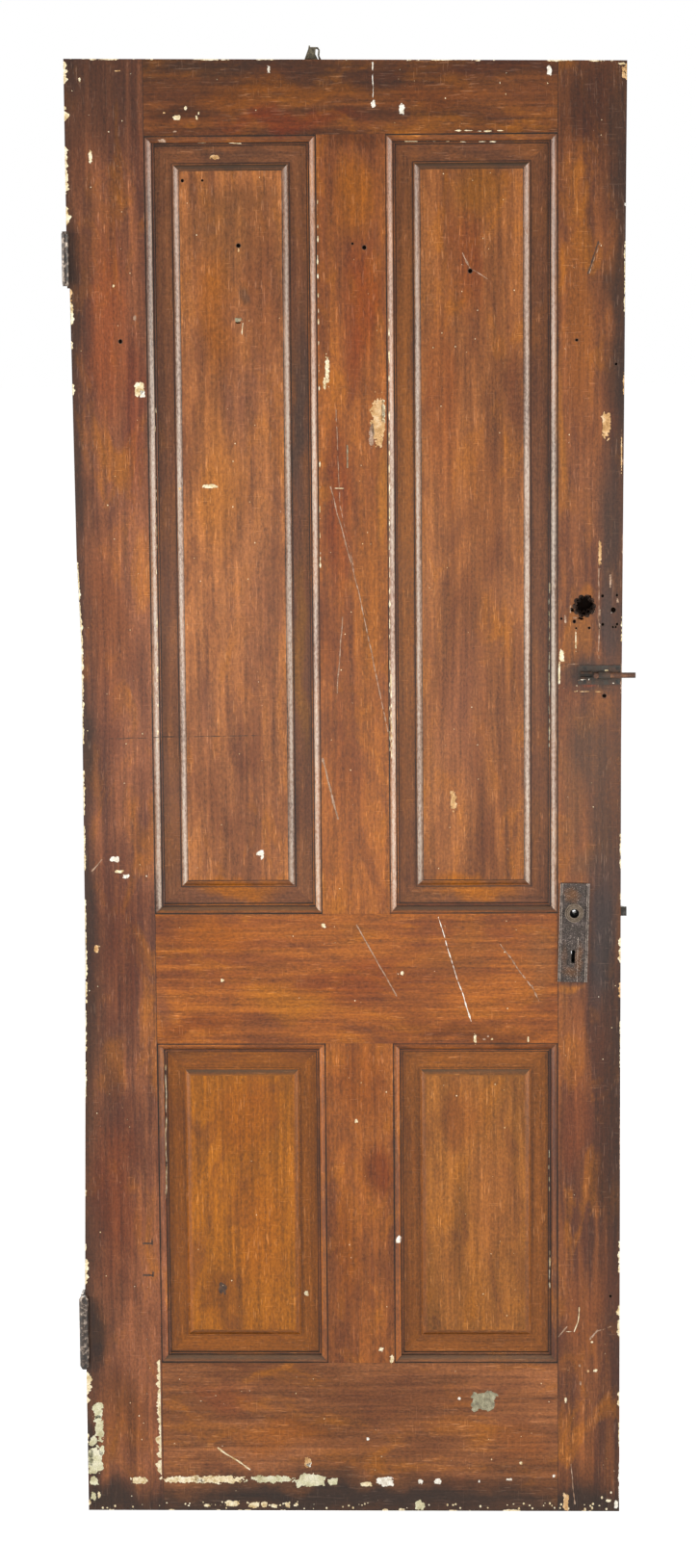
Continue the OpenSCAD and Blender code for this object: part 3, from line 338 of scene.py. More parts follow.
def grained_varnish(name, along, light, deep, shift, smudges, panel, bores, joint_and_shade_lines):
    """Old oil paint combed to look like grain, under a cracked, handled varnish.

    along is the way the grain runs, light and deep its two shades. A smudge is a soft patch:
    photo pixel, half width and half height in pixels, colour and strength.
    A panel is the sides and the heights of its opening. Each bore is a hole's x, z and radius.
    Each dark line is an axis, a place on it and half the line's width: at the shoulders it is a dark joint,
    in a moulding's groove and at its step it is painted shade.
    """
    made, node = fresh_material(name)
    coords, place = object_place(node)
    x, y, z = node("ShaderNodeSeparateXYZ", place, out=None).outputs
    facing_x, _, facing_z = node("ShaderNodeSeparateXYZ", coords["Normal"], out=None).outputs
    sideways = node(MATH, facing_x, operation="ABSOLUTE")
    upright = node("ShaderNodeCombineXYZ", x, z, y)
    lying = node("ShaderNodeCombineXYZ", z, x, y)
    dark_lines = [(x if axis == "x" else z, at, half) for axis, at, half in joint_and_shade_lines]
    if panel:
        grain, reach = panel_grain(node, x, z, panel, upright, lying)
        margin = node(RANGE, reach, -1.0, 3.0, 0.0, 0.62)
        brown = LOW_BROWN
        # Painted shade: dark lines where the panel runs under its moulding, and on the upper panels at the
        # foot and the top of the slope.
        dark_lines.append((reach, FIELD_AT - PANEL_AT - 0.5, 1.0))
        if panel[1] == UPPER_OPENING:
            brown = BROWN
            dark_lines += [(reach, FIELD_AT - SLOPE_AT, 0.8), (reach, 0.4, 0.7)]
    else:
        grain = upright if along == "up" else lying
    grain = node(VECTOR_MATH, grain, (shift, shift * 7.0, shift * 3.0), operation="ADD")
    pattern = partial(grain_noise, node, grain)
    cloud = pattern(CLOUD, 3.0, distortion=0.6)
    streak = pattern(STREAK, 4.0, 0.62, 0.3)
    blotch = pattern(BLOTCH, 4.0, 0.6, 0.8)
    brush = pattern(BRUSH, 3.0)
    marks = node(MATH, brush, pattern(MOTTLE, 2.0), operation="ADD")

    colour = combed_paint(node, light, deep, cloud, streak, blotch)
    if panel:
        colour = node(MIX, {0: margin, 6: colour, 7: linear(brown)}, **COLOURS)
    colour = smudged(node, colour, place, smudges)
    # Fine brush marks lighten and darken the colour a little.
    value = node(RANGE, marks, 0.6, 1.4, 0.36, 1.24)
    colour = node(VECTOR_MATH, {0: colour, "Scale": value}, operation="SCALE")
    # A crack shows paler than the paint beside it.
    lines = crackle(node, pattern, blotch)
    paler = node(VECTOR_MATH, colour, (1.6, 1.7, 1.8), (0.07, 0.05, 0.04), operation="MULTIPLY_ADD")
    colour = node(MIX, {0: lines, 6: colour, 7: paler}, **COLOURS)
    # Painted shade, with grime, darkens the corners, and dark lines mark the grooves and joints.
    colour = shaded_and_grimy(node, colour, pattern, dark_lines)
    # Dust lies on what faces up.
    dust = node(RANGE, facing_z, 0.2, 0.6, 0.0, 0.75)
    colour = node(MIX, {0: dust, 6: colour, 7: linear(DUST)}, **COLOURS)
    # A painted reflection of the side lamps lightens the faces that look sideways.
    colour = painted_side_sheen(node, colour, z, sideways, marks)
    colour = worn_edges(node, colour, pattern, value, x, z, sideways, facing_z)

    gloss = node(RANGE, cloud, 0.3, 0.7, 0.36, 0.25)
    gloss = node(MATH, lines, 0.2, gloss, operation="MULTIPLY_ADD")
    relief = node(MATH, brush, lines, operation="ADD")
    bump = node("ShaderNodeBump", {"Height": relief, "Strength": 0.35, "Distance": 0.0006})
    paint = node("ShaderNodeBsdfPrincipled", {"Base Color": colour, "Roughness": gloss, "Normal": bump,
                                              "IOR": 1.5, "Specular IOR Level": 0.32})
    # The holes' walls are painted near black as shade.
    if bores:
        paint = shaded_holes(node, paint, place, y, bores)
    node("ShaderNodeOutputMaterial", paint, out=None)
    return made


# Smudges of each member: pixel, half width, half height, colour, strength.
hinge_stile_smudges = [
    (100, 110, 60, 90, "#4A2A18", 0.6), (112, 340, 26, 130, "#954B21", 0.6),
    (140, 430, 14, 120, "#731F00", 0.35), (112, 640, 30, 120, "#86481D", 0.5),
    (84, 900, 16, 400, DARK, 0.75), (120, 980, 40, 110, "#501D00", 0.6),
    (120, 1230, 34, 120, "#642700", 0.6), (96, 1400, 16, 140, DARK, 0.7), (110, 1555, 60, 22, DARK, 0.85),
    (74, 400, 10, 300, DARK, 0.6), (130, 1470, 24, 60, "#7A420E", 0.6), (118, 1150, 22, 60, "#43231A", 0.6),
    (112, 760, 24, 70, "#5E3020", 0.5), (122, 1440, 22, 40, "#5A300E", 0.5),
    (96, 1500, 12, 70, "#20150F", 0.85), (96, 204, 14, 40, "#5A3420", 0.5),
    (96, 848, 14, 50, "#553426", 0.5), (130, 1084, 26, 34, "#5A3424", 0.5),
]
lock_stile_smudges = [
    (615, 110, 50, 70, "#3D1A08", 0.75), (646, 300, 14, 260, DARK, 0.7),
    (606, 330, 16, 120, "#8A4E16", 0.6), (606, 520, 30, 60, "#7C4A2C", 0.6),
    (632, 560, 16, 120, "#4A3226", 0.8), (632, 650, 14, 50, "#42302A", 0.8),
    (604, 660, 14, 30, "#8C5420", 0.7), (615, 702, 40, 24, "#33271F", 0.8),
    (614, 780, 40, 60, "#4C3322", 0.75), (592, 840, 16, 70, "#734826", 0.7),
    (606, 898, 22, 16, "#6A4426", 0.7), (624, 860, 26, 90, "#4A3020", 0.8),
    (624, 975, 24, 110, GREASE, 0.95), (598, 975, 18, 90, "#40302A", 0.6),
    (595, 1027, 14, 7, "#A0601E", 0.8), (611, 711, 10, 4, "#8A3C14", 0.7),
    (634, 1180, 18, 180, "#3D1B07", 0.8), (600, 1160, 18, 80, "#783D1D", 0.5),
    (606, 1370, 20, 60, "#844921", 0.5), (600, 1556, 60, 20, DARK, 0.85),
    (584, 450, 8, 100, "#A0621E", 0.6),
]
top_rail_smudges = [
    (230, 66, 110, 12, DARK, 0.45), (500, 68, 140, 14, "#3D0A00", 0.6), (250, 98, 60, 20, "#864700", 0.6),
    (190, 118, 40, 14, "#421D00", 0.7), (300, 124, 90, 14, "#732700", 0.6),
    (450, 96, 70, 20, "#733500", 0.5), (330, 92, 80, 14, "#8C4C00", 0.5),
]
lock_rail_smudges = [
    (220, 970, 50, 26, "#A45904", 0.6), (200, 1068, 60, 16, "#6D3004", 0.7),
    (300, 1040, 70, 26, "#A4620A", 0.6), (370, 1020, 70, 30, "#843D0A", 0.5),
    (500, 1070, 90, 14, "#623000", 0.7), (480, 990, 60, 30, "#8A501D", 0.5),
    (560, 990, 26, 60, "#7A4A24", 0.6), (170, 1044, 16, 28, "#64382A", 0.6),
    (372, 964, 34, 16, "#80461A", 0.5),
]
bottom_rail_smudges = [
    (360, 1558, 280, 16, DARK, 0.9), (230, 1450, 50, 20, "#783815", 0.5),
    (290, 1490, 60, 24, "#955004", 0.6), (450, 1470, 70, 40, "#764424", 0.5),
    (540, 1500, 40, 30, "#894B19", 0.5), (340, 1540, 200, 14, "#503015", 0.5),
]
upper_muntin_smudges = [
    (365, 145, 40, 14, "#552700", 0.7), (365, 210, 26, 50, "#9B5700", 0.6),
    (372, 330, 20, 90, "#843600", 0.6), (350, 520, 16, 120, "#782E04", 0.55),
    (385, 640, 18, 160, "#A46019", 0.5), (360, 800, 22, 90, "#84461C", 0.6),
    (397, 515, 8, 70, "#A8691F", 0.6),
]
lower_muntin_smudges = [
    (375, 1120, 30, 60, "#86440C", 0.6), (392, 1215, 20, 34, "#642400", 0.7),
    (360, 1300, 18, 80, "#844200", 0.5),
]
upper_left_smudges = [
    (240, 240, 60, 60, "#784B24", 0.5), (225, 330, 24, 90, "#9B570A", 0.6),
    (270, 300, 20, 120, "#7A4424", 0.6), (230, 500, 34, 110, "#AC6927", 0.6),
    (265, 640, 26, 120, "#845032", 0.5), (215, 780, 22, 90, "#955B35", 0.5),
    (245, 922, 60, 15, "#A45C00", 0.9), (312, 420, 10, 130, "#43322A", 0.75),
    (312, 690, 10, 130, "#8E5A1C", 0.7), (250, 420, 30, 60, "#6A4032", 0.5),
    (240, 160, 80, 11, "#4E3020", 0.65), (252, 206, 44, 24, "#6A4020", 0.5),
    (216, 726, 20, 46, "#74462F", 0.5), (246, 326, 18, 32, "#7A4A34", 0.5),
    (256, 306, 6, 12, "#3A2E28", 0.6),
]
upper_right_smudges = [
    (500, 200, 30, 40, "#955900", 0.5), (480, 270, 26, 70, "#763000", 0.6),
    (460, 420, 18, 120, "#8F4915", 0.5), (500, 540, 30, 110, "#935524", 0.5),
    (480, 740, 40, 110, "#895032", 0.5), (490, 922, 60, 15, "#A05A00", 0.9),
    (428, 520, 12, 420, "#9A5A1C", 0.75), (490, 160, 80, 11, "#54321E", 0.5),
    (415, 520, 12, 420, "#9A5A1C", 0.7),
]
lower_left_smudges = [
    (255, 1160, 50, 50, "#975000", 0.6), (270, 1270, 40, 80, "#A45B0A", 0.6),
    (225, 1340, 20, 30, "#733D00", 0.5),
]
lower_right_smudges = [
    (480, 1160, 30, 40, "#864715", 0.5), (510, 1240, 30, 90, "#A0602D", 0.6),
    (470, 1340, 20, 60, "#975B24", 0.5),
]

wood_looks = {
    "hinge_stile": ("up", "#935837", "#5C3424", 11, hinge_stile_smudges, None),
    "lock_stile": ("up", "#8A5028", "#542E1C", 37, lock_stile_smudges, None),
    "top_rail": ("across", "#844A1C", "#552C10", 53, top_rail_smudges, None),
    "lock_rail": ("across", "#AA601E", "#7C4018", 71, lock_rail_smudges, None),
    "bottom_rail": ("across", "#995E36", "#74431F", 97, bottom_rail_smudges, None),
    "upper_muntin": ("up", "#A66026", "#7C4420", 113, upper_muntin_smudges, None),
    "lower_muntin": ("up", "#9E5A22", "#743F1C", 131, lower_muntin_smudges, None),
    "upper_left_panel": ("up", "#AE6C3A", "#7C4A2C", 151, upper_left_smudges, (LEFT_OPENING, UPPER_OPENING)),
    "upper_right_panel": ("up", "#9E6030", "#74421F", 173, upper_right_smudges,
                          (RIGHT_OPENING, UPPER_OPENING)),
    "lower_left_panel": ("up", "#A8620E", "#8A500A", 197, lower_left_smudges,
                         ((LEFT_OPENING[0], LEFT_OPENING[1] + LOWER_SHIFT), LOWER_OPENING)),
    "lower_right_panel": ("up", "#A66628", "#84501C", 211, lower_right_smudges,
                          ((RIGHT_OPENING[0] + LOWER_SHIFT, RIGHT_OPENING[1]), LOWER_OPENING)),
}
# The old night latch's hole, the knob's hole and the keyhole.
lock_stile_bores = [(OLD_HOLE[0], OLD_HOLE[1], 19), (KNOB_X, KNOB_Z, 11), (KEY_X, KEY_Z - 8, 14)]


def moulding_shade_lines(axis, edge, inward):
    """Painted shade: the dark lines in a moulding's groove and at its inner step, beside the opening's edge.
    """
    return [(axis, edge + inward * QUIRK_AT, 1.0), (axis, edge + inward * STEP_AT, 0.9)]


# The rails' shoulders meet the stiles in line with the openings.
shoulders = [("x", LEFT_OPENING[0], 0.8), ("x", RIGHT_OPENING[1], 0.8)]
# Each member's dark lines: dark joints at the shoulders, painted shade in the mouldings' grooves and steps.
wood_joint_and_shade_lines = {
    "hinge_stile": moulding_shade_lines("x", LEFT_OPENING[0], 1),
    "lock_stile": moulding_shade_lines("x", RIGHT_OPENING[1], -1),
    "top_rail": shoulders + moulding_shade_lines("z", UPPER_OPENING[1], -1),
    "lock_rail": (shoulders + moulding_shade_lines("z", UPPER_OPENING[0], 1)
                  + moulding_shade_lines("z", LOWER_OPENING[1], -1)),
    "bottom_rail": shoulders + moulding_shade_lines("z", LOWER_OPENING[0], 1),
    "upper_muntin": moulding_shade_lines("x", LEFT_OPENING[1], -1) + moulding_shade_lines("x", RIGHT_OPENING[0], 1),
    "lower_muntin": (moulding_shade_lines("x", LEFT_OPENING[1] + LOWER_SHIFT, -1)
                     + moulding_shade_lines("x", RIGHT_OPENING[0] + LOWER_SHIFT, 1)),
}
for member, (along, light, deep, shift, smudges, panel) in wood_looks.items():
    bores = lock_stile_bores if member == "lock_stile" else []
    dress(member, grained_varnish("grained_varnish_" + member, along, light, deep, shift, smudges, panel,
                                  bores, wood_joint_and_shade_lines.get(member, [])))


# Bare wood, iron and primer

# The grit on iron and on primer is about this wide.
GRIT_MM = 1.6


def mottled(name, shades, size_mm, metallic, rough, bump_mm=0.2, cuts=(0.35, 0.5, 0.65)):
    """A surface with uneven patches of three shades, whose roughness and metal change with them."""
    made, node = fresh_material(name)
    _, place = object_place(node, size_mm)
    patches = node(NOISE, {"Vector": place, "Scale": 1.0, "Detail": 5.0, "Roughness": 0.62})
    grit = node(NOISE, {"Vector": place, "Scale": size_mm / GRIT_MM, "Detail": 2.0})
    ramp = node("ShaderNodeValToRGB", patches, out=None)
    stops = ramp.color_ramp.elements
    stops.new(cuts[1])
    for stop, at, shade in zip(stops, cuts, shades):
        stop.position = at
        stop.color = linear(shade)
    lift = node(RANGE, grit, 0.3, 0.7, 0.75, 1.25)
    colour = node(VECTOR_MATH, {0: ramp.outputs[0], "Scale": lift}, operation="SCALE")
    share = node(RANGE, patches, cuts[0], cuts[2], metallic[0], metallic[1])
    gloss = node(RANGE, patches, cuts[0], cuts[2], rough[0], rough[1])
    relief = node(MATH, grit, patches, operation="ADD")
    bump = node("ShaderNodeBump", {"Height": relief, "Strength": 0.6, "Distance": bump_mm * MM})
    skin = node("ShaderNodeBsdfPrincipled", {"Base Color": colour, "Metallic": share, "Roughness": gloss,
                                             "Normal": bump})
    node("ShaderNodeOutputMaterial", skin, out=None)
    return made


def painted_hole_shade(name, darkest, paler):
    """Painted shade for a hole: near black, and it gives back hardly any light."""
    made, node = fresh_material(name)
    place = node("ShaderNodeTexCoord", out="Object")
    # Its grains are about 1.4 mm wide.
    grains = node(NOISE, {"Vector": place, "Scale": 700.0, "Detail": 2.0})
    colour = node(MIX, {0: grains, 6: linear(darkest), 7: linear(paler)}, **COLOURS)
    matt = node("ShaderNodeBsdfDiffuse", {"Color": colour})
    node("ShaderNodeOutputMaterial", matt, out=None)
    return made


# Black iron of the lock.
dark_iron = mottled("black_lock_iron", ("#33271F", "#2A2826", "#4C4A46"), 18, (0.2, 0.6), (0.6, 0.48))
# The hub's iron is thick with old grease.
greased_iron = mottled("greased_iron", ("#0E0A08", "#15100D", "#241B15"), 6, (0.1, 0.2), (0.75, 0.6))
# The slide bolt's plate, brushed over with the door's brown.
bolt_iron = mottled("painted_bolt_iron", ("#4A3224", "#33271E", "#3A3834"), 13, (0.0, 0.4), (0.6, 0.45), 0.3)
# Hinges that were painted over with the door and rubbed to iron at the knuckles, with pale flecks that are
# painted highlights as well as bare iron.
hinge_iron_and_glints = mottled("painted_hinge_iron", ("#150E0B", "#3C2F28", "#A3958A"), 6, (0.0, 0.25), (0.5, 0.4), 0.5,
                     cuts=(0.4, 0.52, 0.66))
# Plain steel gone dull.
dull_steel = mottled("dull_steel", ("#6E5A48", "#8A8078", "#B0A8A0"), 8, (0.6, 0.95), (0.6, 0.4))
# The slide bolt's rod, brown with rust and paint.
brown_rod = mottled("rusted_rod", ("#3A261C", "#573A2B", "#8A6248"), 10, (0.2, 0.6), (0.65, 0.45))
# The clip on top, out in the weather: olive-grey rust.
weathered = mottled("weathered_iron", ("#3A3226", "#565042", "#7A705C"), 7, (0.1, 0.4), (0.8, 0.65), 0.4)
# Planed pine that was never painted.
bare_pine = mottled("bare_pine", ("#8A6238", "#A67C4C", "#BE9662"), 12, (0.0, 0.0), (0.7, 0.6))
# The escutcheon's coat from dark to worn, where each shade is whole, its rust, its rubbed lines, which carry
# a painted highlight, and its ring.
PLATE_COAT = ("#2A201A", "#362D29", "#524845")
PLATE_CUTS = (0.36, 0.5, 0.66)
PLATE_RUST = "#5C3A1C"
PLATE_RUBBED_HIGHLIGHT = "#A89A90"
PLATE_RING = "#5E4E38"
# Its patches of rust, from the knob's axis: place, half size and strength.
PLATE_SPOTS = (((-4, 25), (12, 12), 0.85), ((8, -66), (6, 26), 0.7), ((-2, -84), (14, 8), 0.65),
               ((-12, -60), (5, 20), 0.35))
# Rubbed lines, worn and with a painted highlight, each with half its width: the rim's two edges, the ring's
# steps and the keyhole's surround, which ends below the ring.
RIM_LINES = ((17.2, 0.55), (19.9, 0.5))
RING_LINES = ((12.4, 0.6), (9.8, 0.6), (7.2, 0.6))
SURROUND_LINE = (6.3, 0.5)
SURROUND_TOP = -34.0
# The radius of the ring and of its bore.
RING_R = 13.2
BORE_R = 6.5


def rubbed_and_highlit(node, own, u, v, radius, grit):
    """Painted highlights where the plate's coat is rubbed off: pale lines on its high edges, and painted
    glints on single grains.
    """
    surround = node(MATH, u, *SURROUND_LINE, operation="COMPARE")
    below = node(MATH, v, SURROUND_TOP, operation="LESS_THAN")
    line = node(MATH, surround, below, operation="MULTIPLY")
    off = node(MATH, u, operation="ABSOLUTE")
    for value, places in ((off, RIM_LINES), (radius, RING_LINES)):
        for at, half in places:
            other = node(MATH, value, at, half, operation="COMPARE")
            line = node(MATH, line, other, operation="MAXIMUM")
    broken = node(NOISE, {"Vector": own, "Scale": 1 / 5, "Detail": 4.0, "Roughness": 0.65})
    broken = node(RANGE, broken, 0.42, 0.56, 0.15, 0.8)
    line = node(MATH, line, broken, operation="MULTIPLY")
    glint = node(RANGE, grit, 0.60, 0.68, 0.0, 0.9)
    return node(MATH, line, glint, operation="MAXIMUM")


def escutcheon_iron(name):
    """Cast iron plate, handled till its dark coat wore off the high lines and rusted in patches, with painted
    highlights on those lines and on single grains, and its bore painted black as shade.
    """
    made, node = fresh_material(name)
    _, place = object_place(node)
    # The plate leans, so its own upright is turned with it and starts at the knob's axis.
    own = node(MAPPING, {"Vector": place, "Location": (KNOB_X, 0.0, KNOB_Z),
                         "Rotation": (0.0, PLATE_LEAN, 0.0)}, vector_type="TEXTURE")
    u, _, v = node("ShaderNodeSeparateXYZ", own, out=None).outputs
    flat = node("ShaderNodeCombineXYZ", u, v)
    radius = node(VECTOR_MATH, flat, out="Value", operation="LENGTH")
    patches = node(NOISE, {"Vector": own, "Scale": 1 / 9, "Detail": 5.0, "Roughness": 0.6})
    grit = node(NOISE, {"Vector": own, "Scale": 1 / 1.3, "Detail": 3.0, "Roughness": 0.6})
    ramp = node("ShaderNodeValToRGB", patches, out=None)
    stops = ramp.color_ramp.elements
    stops.new(PLATE_CUTS[1])
    for stop, at, shade in zip(stops, PLATE_CUTS, PLATE_COAT):
        stop.position = at
        stop.color = linear(shade)
    colour = ramp.outputs[0]
    for at, half, strength in PLATE_SPOTS:
        inside = ellipse(node, own, at, half)
        inside = node(MATH, patches, -1.6, inside, operation="MULTIPLY_ADD")
        inside = node(RANGE, inside, -0.4, 0.3, strength, 0.0)
        colour = node(MIX, {0: inside, 6: colour, 7: linear(PLATE_RUST)}, **COLOURS)
    lift = node(RANGE, grit, 0.3, 0.7, 0.55, 1.5)
    colour = node(VECTOR_MATH, {0: colour, "Scale": lift}, operation="SCALE")
    # Painted highlights on the high lines and glints on single grains.
    line = rubbed_and_highlit(node, own, u, v, radius, grit)
    colour = node(MIX, {0: line, 6: colour, 7: linear(PLATE_RUBBED_HIGHLIGHT)}, **COLOURS)
    # The ring is warmer, and its bore is painted black as shade.
    ring = node(MATH, radius, RING_R, operation="LESS_THAN")
    ring = node(MATH, ring, 0.5, operation="MULTIPLY")
    colour = node(MIX, {0: ring, 6: colour, 7: linear(PLATE_RING)}, **COLOURS)
    bore = node(MATH, radius, BORE_R, operation="LESS_THAN")
    colour = node(MIX, {0: bore, 6: colour, 7: linear(HOLE_SHADE)}, **COLOURS)
    share = node(RANGE, patches, PLATE_CUTS[0], PLATE_CUTS[2], 0.15, 0.6)
    gloss = node(RANGE, grit, 0.3, 0.7, 0.62, 0.42)
    bump = node("ShaderNodeBump", {"Height": grit, "Strength": 0.7, "Distance": 0.0005})
    skin = node("ShaderNodeBsdfPrincipled", {"Base Color": colour, "Metallic": share, "Roughness": gloss,
                                             "Normal": bump})
    node("ShaderNodeOutputMaterial", skin, out=None)
    return made


worn_plate = escutcheon_iron("worn_cast_iron")

iron_looks = {
    worn_plate: ["front_escutcheon", "front_escutcheon_screws"],
    dark_iron: ["lock_case", "lock_cap", "lock_front", "lock_front_screws", "latch_bolt", "dead_bolt",
                "slide_bolt_screws"],
    bolt_iron: ["slide_bolt_plate"],
    greased_iron: ["lock_hub"],
    hinge_iron_and_glints: ["upper_hinge_door_leaf", "upper_hinge_frame_leaf", "upper_hinge_screws",
                 "lower_hinge_door_leaf", "lower_hinge_frame_leaf", "lower_hinge_screws"],
    dull_steel: ["lock_cap_screw", "latch_spring", "dead_bolt_spring", "upper_hinge_pin", "lower_hinge_pin"],
    brown_rod: ["slide_bolt_rod"],
    weathered: ["top_clip"],
    bare_pine: ["tenon_wedges"],
}
for metal, members in iron_looks.items():
    for member in members:
        dress(member, metal)


# Pieces

def put(name, data):
    """An object in the scene with that mesh, lamp or camera."""
    made = bpy.data.objects.new(name, data)
    bpy.context.scene.collection.objects.link(made)
    return made


def mesh_from(bm, name):
    """What was built, as a mesh of that name."""
    mesh = bpy.data.meshes.new(name)
    bm.to_mesh(mesh)
    bm.free()
    return mesh


def piece_from(bm, name, materials):
    """What was built, as an object with those materials."""
    mesh = mesh_from(bm, name)
    for material in materials:
        mesh.materials.append(material)
    return put(name, mesh)


def finish_piece(piece, body):
    """Hangs a piece on its body."""
    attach(piece, body)


def bridge(bm, front, behind):
    """Joins two closed loops of as many points with faces."""
    for k in range(len(front)):
        m = (k + 1) % len(front)
        bm.faces.new((front[k], front[m], behind[m], behind[k]))


# Paint losses

def front_skin():
    """The surfaces that chips, holes and spatter lie on."""
    points = []
    faces = []
    for member in list(wood_looks) + ["slide_bolt_plate", "front_escutcheon"]:
        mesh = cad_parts[member].data
        start = len(points)
        points += [v.co.copy() for v in mesh.vertices]
        faces += [[start + i for i in p.vertices] for p in mesh.polygons]
    return BVHTree.FromPolygons(points, faces)


skin = front_skin()


def skin_depth(x_mm, z_mm):
    """The depth of the front surface at that place, or None beside the leaf."""
    hit = skin.ray_cast(Vector((x_mm * MM, -0.2, z_mm * MM)), Vector((0, 1, 0)))[0]
    return hit.y if hit is not None and hit.y < 0 else None


# What shows where the paint is gone: old cream primer, a pale green coat, bare wood, white and grey.
primers = {
    "cream": mottled("cream_primer", ("#B79A68", "#E0D0AC", "#EFE6D0"), 9, (0, 0), (0.8, 0.7), 0.1),
    "green": mottled("pale_green_coat", ("#B0A884", "#CCC8A8", "#DFDBC6"), 12, (0, 0), (0.8, 0.7), 0.1),
    "tan": mottled("bared_pine", ("#A07848", "#C49A68", "#DCC09A"), 10, (0, 0), (0.8, 0.7), 0.1),
    "white": mottled("white_spatter", ("#C8BEAE", "#E6E0D6", "#F2F0EA"), 8, (0, 0), (0.7, 0.6), 0.1),
    "grey": mottled("grey_filler", ("#6E6858", "#8C876F", "#A8A48C"), 9, (0, 0), (0.85, 0.75), 0.1),
    "haze": mottled("rubbed_varnish", ("#7A5A44", "#9A7C66", "#B49A88"), 7, (0, 0), (0.7, 0.6), 0.1),
    # The pit is no coat: it is painted shade for holes.
    "pit": painted_hole_shade("hole_shadow", "#060403", "#140D09"),
    "black": mottled("charred_mark", ("#2A1C16", "#3E2A1E", "#543A28"), 7, (0, 0), (0.8, 0.7), 0.1),
}
primer_names = list(primers)
# A loss is drawn this far above the wood, so that it never flickers.
LIFT = 0.12 * MM
# No loss runs over a step deeper than this.
STEEP = 2.2 * MM
# A loss's mesh is this wide, in millimetres: at most, along the upright edges and along the ends.
GRID = 0.8
EDGE_GRID = 0.7
END_GRID = 1.0


def ragged(x, z, size, seed):
    """Smooth noise between about -1 and 1, in waves of that size."""
    return noise.noise(Vector((x / size, z / size, seed)))


def lay_loss(bm, low, high, cover, kind, grid):
    """Fills the area where cover is above zero, on the surface of the wood."""
    columns = max(2, int((high[0] - low[0]) / grid) + 1)
    rows = max(2, int((high[1] - low[1]) / grid) + 1)
    values = {}
    for i in range(columns + 1):
        for j in range(rows + 1):
            x, z = low[0] + i * grid, low[1] + j * grid
            covered = cover(x, z)
            values[i, j] = -covered if covered > 0 and skin_depth(x, z) is None else covered
    points = {}

    def corner(key, i, j):
        if key not in points:
            x, z = low[0] + i * grid, low[1] + j * grid
            depth = skin_depth(x, z)
            points[key] = None if depth is None else bm.verts.new((x * MM, depth - LIFT, z * MM))
        return points[key]

    for i in range(columns):
        for j in range(rows):
            ring = [(i, j), (i + 1, j), (i + 1, j + 1), (i, j + 1)]
            outline = []
            for k in range(4):
                a, b = ring[k], ring[(k + 1) % 4]
                if values[a] > 0:
                    outline.append(corner((a,), *a))
                if (values[a] > 0) != (values[b] > 0):
                    share = min(0.92, max(0.08, values[a] / (values[a] - values[b])))
                    key = (a, b) if a < b else (b, a)
                    across, up = (p + (q - p) * share for p, q in zip(a, b))
                    outline.append(corner(key, across, up))
            if len(outline) < 3 or None in outline:
                continue
            depths = [v.co.y for v in outline]
            if max(depths) - min(depths) < STEEP:
                bm.faces.new(outline).material_index = primer_names.index(kind)


def chip(bm, px, py, wide, high, kind):
    """A paint loss at a photo pixel, of that width and height in pixels, with a ragged outline."""
    middle = photo_to_face(px, py) / MM
    half_w = max(wide * PIXEL_MM / 2, 0.7)
    half_h = max(high * PIXEL_MM / 2, 0.7)
    size = max(1.4, min(half_w, half_h) * 0.9)

    def cover(x, z):
        u = abs(x - middle.x) / half_w
        v = abs(z - middle.z) / half_h
        away = (u ** 3 + v ** 3) ** (1 / 3)
        bite = 0.5 * ragged(x, z, size * 1.6, px) + 0.36 * ragged(x, z, size * 0.6, py)
        return 1 - away + (bite + 0.2 * ragged(x, z, size * 0.25, px))

    low = (middle.x - half_w * 1.4, middle.z - half_h * 1.4)
    high_corner = (middle.x + half_w * 1.4, middle.z + half_h * 1.4)
    lay_loss(bm, low, high_corner, cover, kind, min(GRID, max(0.35, min(half_w, half_h) / 5)))


def scratch(bm, start, end, wide, kind, gaps):
    """A scratch between two photo pixels, wide in pixels, broken where gaps is high."""
    a = photo_to_face(*start) / MM
    b = photo_to_face(*end) / MM
    run = Vector((b.x - a.x, b.z - a.z))
    length = run.length
    run.normalize()
    half = wide * PIXEL_MM / 2

    def cover(x, z):
        off = Vector((x - a.x, z - a.z))
        t = off.dot(run)
        away = abs(off.x * run.y - off.y * run.x + 1.2 * ragged(t, 0, 25, start[0]))
        ends = min(t, length - t)
        broken = gaps * (0.4 + ragged(t, 3, 9, end[0]))
        body = half * (0.75 + 0.7 * ragged(t, away, 6, start[1])) - away - broken
        return min(body, ends * 0.15)

    low = (min(a.x, b.x) - 3, min(a.z, b.z) - 3)
    high = (max(a.x, b.x) + 3, max(a.z, b.z) + 3)
    lay_loss(bm, low, high, cover, kind, max(0.45, min(GRID, half * 0.6)))


